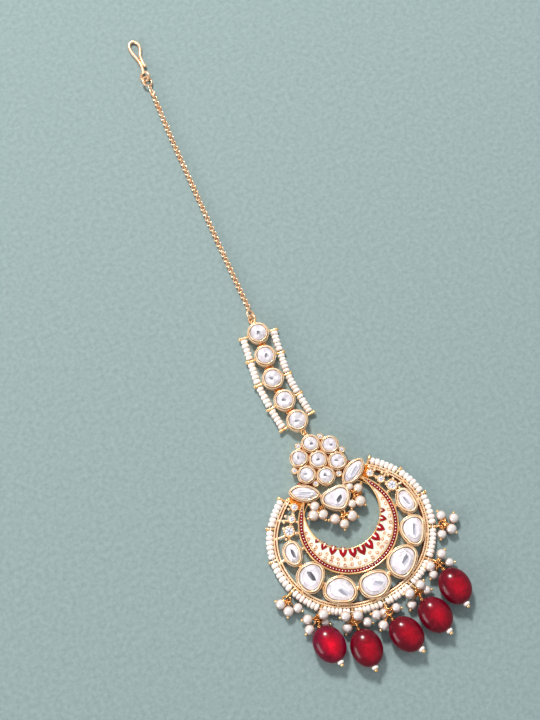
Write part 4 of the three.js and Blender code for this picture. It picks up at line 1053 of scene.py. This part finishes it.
beads = Piece()
tube(beads, rim_line(-137, 137, 120, STRING_OUT, STRING_Z), THREAD, SEED, 6)
margin = math.degrees(0.5 / 19.8)  # half a millimetre on the string
for low, high in zip(POST_ANGLES[:-1], POST_ANGLES[1:]):
    path = rim_line(low + margin, high - margin, 14, STRING_OUT, 0.98)
    fill_seeds(beads, path, 7 if abs(low + high) / 2 < 70 else 6, 0.95, 1.27)
beads.make("rim_beads", "seed_bead", "rim_string")

# ---- pearls, rings and drops

# Post, counted from the lowest one, lean of the ring, turn of the drop, and the pearls as x, y,
# radius and the x, y of the pin's ball
HANGERS = {
    "side_left": (-3, -45, None, [
        (-22.8, -10.6, 1.25, -23.6, -9.4), (-21.8, -12.9, 1.3, -22.6, -14.2),
        (-19.5, -13.1, 1.2, -18.7, -14.3),
    ]),
    "drop_1": (-2, -24, 7, [
        (-18.5, -16.5, 1.25, -19.8, -16.1), (-19.1, -18.9, 1.25, -20.3, -19.5),
        (-14.7, -17.1, 1.3, -13.4, -17.5), (-15.0, -18.9, 1.05, -14.0, -19.8),
    ]),
    "drop_2": (-1, 0, -2, [
        (-10.2, -19.7, 1.25, -11.5, -19.5), (-10.9, -22.3, 1.3, -11.8, -23.6),
        (-7.5, -20.7, 1.3, -6.3, -20.2), (-6.0, -23.0, 1.25, -4.8, -23.7),
    ]),
    "drop_3": (0, -2, 20, [
        (-3.4, -22.4, 1.2, -4.5, -21.7), (-1.5, -22.8, 1.3, -1.9, -24.0),
        (-3.0, -25.3, 1.25, -4.1, -26.1), (1.7, -22.8, 1.2, 2.9, -23.4),
    ]),
    "drop_4": (1, 0, 16, [
        (5.9, -21.2, 1.3, 4.8, -20.8), (5.4, -23.7, 1.2, 4.5, -24.7),
        (9.1, -20.4, 1.2, 10.2, -19.8), (10.1, -22.1, 1.15, 11.3, -22.4),
    ]),
    "drop_5": (2, 18, 7, [
        (13.4, -17.3, 1.3, 12.1, -17.2), (13.2, -19.5, 1.15, 12.1, -20.1),
        (17.0, -15.9, 1.2, 18.2, -15.3), (17.9, -18.4, 1.2, 19.1, -18.8),
    ]),
    "side_right": (3, 90, None, [
        (21.2, -7.4, 1.2, 20.9, -6.1), (23.8, -9.3, 1.25, 24.2, -8.2),
        (22.0, -11.4, 1.3, 22.7, -12.6), (19.4, -11.6, 1.15, 18.6, -12.6),
    ]),
}


def pearl_at(piece, x, y, r, ball_x, ball_y, z, ring_at, material=PEARL):
    """Pearl on a head pin that loops on a ring, with a small ball at the free end."""
    centre = np.array([x, y, z])
    out = unit(np.array([ball_x - x, ball_y - y, 0.0]))
    ball(piece, centre, r, material, 22, 15)
    tip = centre + out * (r + 0.12)
    ball(piece, tip, 0.36, GOLD, 10, 7)
    near = centre - out * (r + 0.05)
    toward = unit(ring_at - near)
    end = ring_at - toward * 0.75
    path = smooth_path([tip, centre, near, (near + end) / 2 + [0, 0, 0.1], end], 14)
    tube(piece, path, 0.15, WIRE_GOLD, 6)
    for shift, size in ((0.0, 0.64), (0.4, 0.48)):
        at = end - toward * shift + [0, 0, 0.25]
        face = np.cross(toward, [0, 0, 1]) + [0.2, 0.1, 0.5 - shift]
        ring(piece, at, size, 0.16, face, WIRE_GOLD, 12, 6)


def hanger(post, lean):
    """Middles of the ring on a post's eyelet and of the pin loop below it, as in the solids."""
    eyelet = rim_point(math.copysign(POSTS[abs(post)], post), EYELET_OUT, 0.9)
    level, tilt = downward(lean), math.radians(30)
    rise = level * math.cos(tilt) + [0, 0, math.sin(tilt)]
    face = -level * math.sin(tilt) + [0, 0, math.cos(tilt)]
    ring_at = eyelet + rise * link_reach(EYELET, EYELET_WIRE, RING, RING_WIRE)
    return level, face, ring_at, ring_at + rise * link_reach(RING, RING_WIRE, PIN_LOOP, PIN_WIRE)


def red_drop(piece, start, along, light):
    """Red glass oval with slightly flattened ends. Its core is painted lighter, as light glowing
    through the glass.
    """
    side = across(along)
    rows, around = 40, 48
    points, glow = [], []
    edge = math.acos(0.36 / 3.65)
    for t in np.linspace(-edge, edge, rows):
        c = abs(math.cos(t)) ** 0.94
        h = DROP_LENGTH / 2 + 4.52 * math.sin(t)
        lie = (h - 5.0) / 4.5
        for u, v in zip(*(c * part for part in circle(around))):
            points.append(start + along * h + side * 3.78 * u + np.array([0, 0, 2.66 * v]))
            away = math.hypot((u - 0.08) / 0.5, lie / 0.62) if v > 0 else math.hypot(u, lie) / 0.6
            glow.append(math.exp(-(away**2.4)))
    faces = capped_faces(rows, around)
    shades = []
    for face in faces:
        g = sum(glow[i] for i in face) / len(face)
        shades.append((0.11 + (0.28 + light) * g, 0.0015, 0.011 + 0.004 * g + 0.03 * light))
    piece.add(points, faces, RUBY, shades=shades)


def hang_drop(name, level, loop_at, turn, light):
    """Red drop, and the head pin that runs through it with its loop, coils and end bead."""
    along = downward(turn)
    start = loop_at + level * 1.25
    start[2] = DROP_Z
    drop = Piece()
    red_drop(drop, start, along, light)
    drop.make(f"{name}_glass", "red_drop", f"{name}_bead")
    pin = Piece()
    ring(pin, loop_at, 0.72, 0.2, across(level), WIRE_GOLD, 20, 8)
    neck = loop_at + level * PIN_LOOP
    down = start - neck
    for k in range(3):
        ring(pin, neck + down * (0.12 + 0.24 * k), 0.3, 0.14, down, WIRE_GOLD, 14, 7)
    low_end = start + along * DROP_LENGTH
    tube(pin, [neck, neck + down * 0.6, start + along * 0.3], 0.17, GOLD)
    tube(pin, [low_end - along * 0.2, low_end + along * 1.1], 0.17, GOLD)
    seed(pin, low_end + along * 0.38, along, 0.82, 0.95, SEED, 18)
    ball(pin, low_end + along * 1.05, 0.47, GOLD, 14, 9)
    pin.make(f"{name}_headpin", "gold", f"{name}_pin")


left_edge, right_edge = cad_low[0] / SCALE - ORIGIN[0], cad_high[0] / SCALE - ORIGIN[0]
for name, (post, lean, turn, rows) in HANGERS.items():
    level, face, ring_at, loop_at = hanger(post, lean)
    cluster = Piece()
    ring(cluster, ring_at, RING, 0.24, face, WIRE_GOLD, 22, 8)
    for k, (x, y, r, ball_x, ball_y) in enumerate(rows):
        x = float(np.clip(x, left_edge + r + 0.02, right_edge - r - 0.02))
        z = r + 0.1
        if turn is not None and k == 2:
            z += 1.25
        if turn is not None and k in (0, 2) and post in (-1, 0, 1):
            z = 2.7
        pearl_at(cluster, x, y, r, ball_x, ball_y, z, ring_at)
    cluster.make(f"{name}_pearls", "pearl", f"{name}_cluster")
    if turn is not None:
        # The first drop's core is painted lighter still.
        hang_drop(name, level, loop_at, turn, 0.26 if name == "drop_1" else 0.0)

# Pearls below the pear stone, in the same columns
PEAR_ROWS = {
    "pear_cluster_left": [
        (-5.6, 7.1, 1.15, -6.6, 8.0), (-6.7, 5.3, 1.3, -7.9, 5.2), (-4.6, 4.6, 1.25, -4.5, 3.2),
    ],
    "pear_cluster_middle": [
        (-2.5, 2.3, 1.2, -3.7, 2.6), (-0.9, 0.4, 1.15, -1.3, -0.8), (1.6, 1.4, 1.3, 2.7, 0.7),
    ],
    "pear_cluster_right": [
        (5.8, 6.8, 1.1, 6.8, 7.4), (4.95, 3.8, 1.3, 5.6, 2.7), (2.9, 4.0, 1.0, 2.4, 3.1),
        (4.1, 8.0, 0.95, 4.6, 9.0),
    ],
}
for (name, rows), (loop, direction) in zip(PEAR_ROWS.items(), PEAR_LOOPS):
    cluster = Piece()
    middle = loop + direction * link_reach(LOOP, LOOP_WIRE, RING, RING_WIRE)
    face = across(direction, 1)
    ring(cluster, middle, RING, 0.26, face, WIRE_GOLD, 22, 8)
    low_ring = middle + direction * 0.55 + [0, 0, 0.35]
    for tilt in (0.5, -0.7):
        ring(cluster, low_ring, 0.66, 0.22, face + [tilt, -tilt, 0], WIRE_GOLD, 18, 7)
    for k, (x, y, r, ball_x, ball_y) in enumerate(rows):
        z = 2.3 if k == 0 else 1.9
        # The pearls under the pear stone take the darker honey copy: painted shade and painted
        # reflection.
        pearl_at(cluster, x, y, r * 1.1, ball_x, ball_y, z, middle, PEARL_PAINTED_DARKER)
    cluster.make(f"{name}_pearls", "pearl", name)

# ---- chain and hook

up = unit((0.1, 1, 0))
low_ring = top_loop + up * link_reach(LOOP, LOOP_WIRE, END_RING, END_WIRE)
low_ring[2] = 1.05
high_ring = low_ring + up * link_reach(END_RING, END_WIRE, END_RING, END_WIRE)
for at, name, hand in ((low_ring, "end_ring_1", 1), (high_ring, "end_ring_2", -1)):
    piece = Piece()
    ring(piece, at, END_RING, 0.31, across(up * hand, 1), ROSE_GOLD, 28, 10)
    piece.make(f"{name}_wire", "gold", name)

start = high_ring + [0.3, END_RING + END_WIRE + GAP, 0]
start[2] = 0.75
# The chain's slight bends as shares of its length
SHARES = [(0, 0), (0.0016, 0.1615), (0.0039, 0.3168), (0.0078, 0.472)]
SHARES += [(0.0116, 0.6273), (0.0155, 0.7826), (0.0225, 0.9224), (0.0264, 1)]
points = [start + [aside * CHAIN_LENGTH, rise * CHAIN_LENGTH, 0] for aside, rise in SHARES]
route = Route(smooth_path(points, 300))
LINK, LINK_WIRE, PITCH = 0.565, 0.16, 0.75  # radius, wire and distance of the chain's links
chain = Piece()
count = int(route.length / PITCH)
for k in range(count + 1):
    way = min(k * route.length / count, route.length)
    along = route.along(way, 0.5)
    tilt = math.radians((22 if k % 2 else -68) + 7 * rng.uniform(-1, 1))
    face = across(along) * math.sin(tilt) + [0, 0, math.cos(tilt)]
    ring(chain, route.at(way), LINK, LINK_WIRE, face, ROSE_GOLD, 18, 7, 1.0, along)
chain.make("chain_links", "gold", "chain")

# Oval ring between chain and hook, with a connecting ring and the last long link
x, y, _ = points[-1]
OVAL = 2.0  # length of the oval ring as a multiple of its width
ring_y = y + GAP + END_RING * OVAL + END_WIRE * OVAL
piece = Piece()
tilt = math.radians(22)
face = (math.sin(tilt), 0, math.cos(tilt))
ring(piece, (x, ring_y + 0.85, 1.0), 1.2, 0.3, face, ROSE_GOLD, 30, 10, 1.1, (0, 1, 0))
ring(piece, (x, ring_y - 0.95, 1.0), 0.5, 0.18, (1, 0, 0.9), ROSE_GOLD, 18, 8)
face = (0.3, 0, 1)
ring(piece, (x - 0.05, ring_y - 2.35, 0.85), 0.36, 0.22, face, ROSE_GOLD, 20, 8, 2.6, (0, 1, 0))
piece.make("hook_ring_wire", "gold", "hook_ring")

EYE, EYE_WIRE = 1.15, 0.35
piece = Piece()
eye_y = ring_y + END_RING * OVAL + EYE - EYE_WIRE - 2 * END_WIRE
ring(piece, (x, eye_y, 1.09), 1.22, 0.36, (-1, 0, 1.4), ROSE_GOLD, 28, 10)
# The hook's wire: shares of its width and of its length from the eye
HOOK = [(0.0, 0.0), (0.14, 0.14), (0.17, 0.3), (0.05, 0.52), (-0.12, 0.72), (-0.13, 0.87)]
HOOK += [(0.06, 0.98), (0.44, 1.0), (0.76, 0.92), (0.83, 0.78), (0.68, 0.65), (0.5, 0.54)]
HOOK += [(0.45, 0.42), (0.44, 0.3), (0.5, 0.18)]
HOOK_WIDE, HOOK_LONG, EYE_Z, HOOK_Z = 2.65, 9.83, 1.05, 0.46
path = []
for out, rise in HOOK:
    z = EYE_Z + (HOOK_Z - EYE_Z) * min(1, rise * 3)
    path.append([x + out * HOOK_WIDE, eye_y + EYE + rise * HOOK_LONG, z])
tube(piece, smooth_path(path, 80), 0.42, ROSE_GOLD, 12)
piece.make("hair_hook_wire", "gold", "hair_hook")

# ---- floor, light and camera

FLOOR_REACH = 6.0
mesh = bpy.data.meshes.new("floor")
corners = [(x * FLOOR_REACH, y * FLOOR_REACH, 0) for x, y in ((-1, -1), (1, -1), (1, 1), (-1, 1))]
mesh.from_pydata(corners, [], [(0, 1, 2, 3)])
mesh.materials.append(FLOOR)
floor = add_object("floor", mesh)
floor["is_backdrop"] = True

TARGET = Vector((0.0, -0.02, 0.0))


def lamp(name, place, size, size_y, power, colour):
    """Soft lamp at a place seen from the target, which it faces. Metres and watts."""
    data = bpy.data.lights.new(name, "AREA")
    data.shape = "RECTANGLE"
    data.size, data.size_y, data.energy, data.color = size, size_y, power, colour
    made = add_object(name, data)
    made.location = TARGET + Vector(place)
    made.rotation_euler = (-Vector(place)).to_track_quat("-Z", "Y").to_euler()
    return made


lamp("key", (0.06, 0.69, 0.76), 0.18, 0.18, 11.5, (1.0, 0.98, 0.95))
lamp("strip_left", (-0.9, -0.05, 0.36), 0.6, 0.34, 4.4, (1.0, 0.93, 0.92))
lamp("fill_front", (0.35, -0.9, 0.7), 0.8, 0.5, 0.7, (0.98, 0.99, 1.0)).visible_glossy = False
lamp("top", (0.3, 0.1, 1.1), 0.7, 0.7, 0.5, (1.0, 1.0, 1.0)).visible_glossy = False

world = bpy.data.worlds.new("studio")
bpy.context.scene.world = world
world.use_nodes = True
world.node_tree.nodes["Background"].inputs["Color"].default_value = (0.96, 0.97, 1.0, 1.0)
world.node_tree.nodes["Background"].inputs["Strength"].default_value = 0.5

bpy.context.scene.view_settings.view_transform = "Standard"

# The camera's place and directions, solved from the photo
camera = bpy.data.cameras.new("camera")
camera.lens, camera.sensor_width, camera.sensor_fit = 75.0, 36.0, "AUTO"
camera.clip_start, camera.clip_end = 0.01, 20.0
view = add_object("camera", camera)
view.location = metres([-42.778, -47.977, 358.883]).tolist()
look = Vector((0.11518, 0.25042, -0.96126))
right = Vector((0.90851, -0.41787, 0.0))
view.rotation_mode = "QUATERNION"
view.rotation_quaternion = Matrix((right, right.cross(look), -look)).transposed().to_quaternion()
bpy.context.scene.camera = view

low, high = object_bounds()
{"cad": [list(cad_low), list(cad_high)], "visual": [list(low), list(high)]}
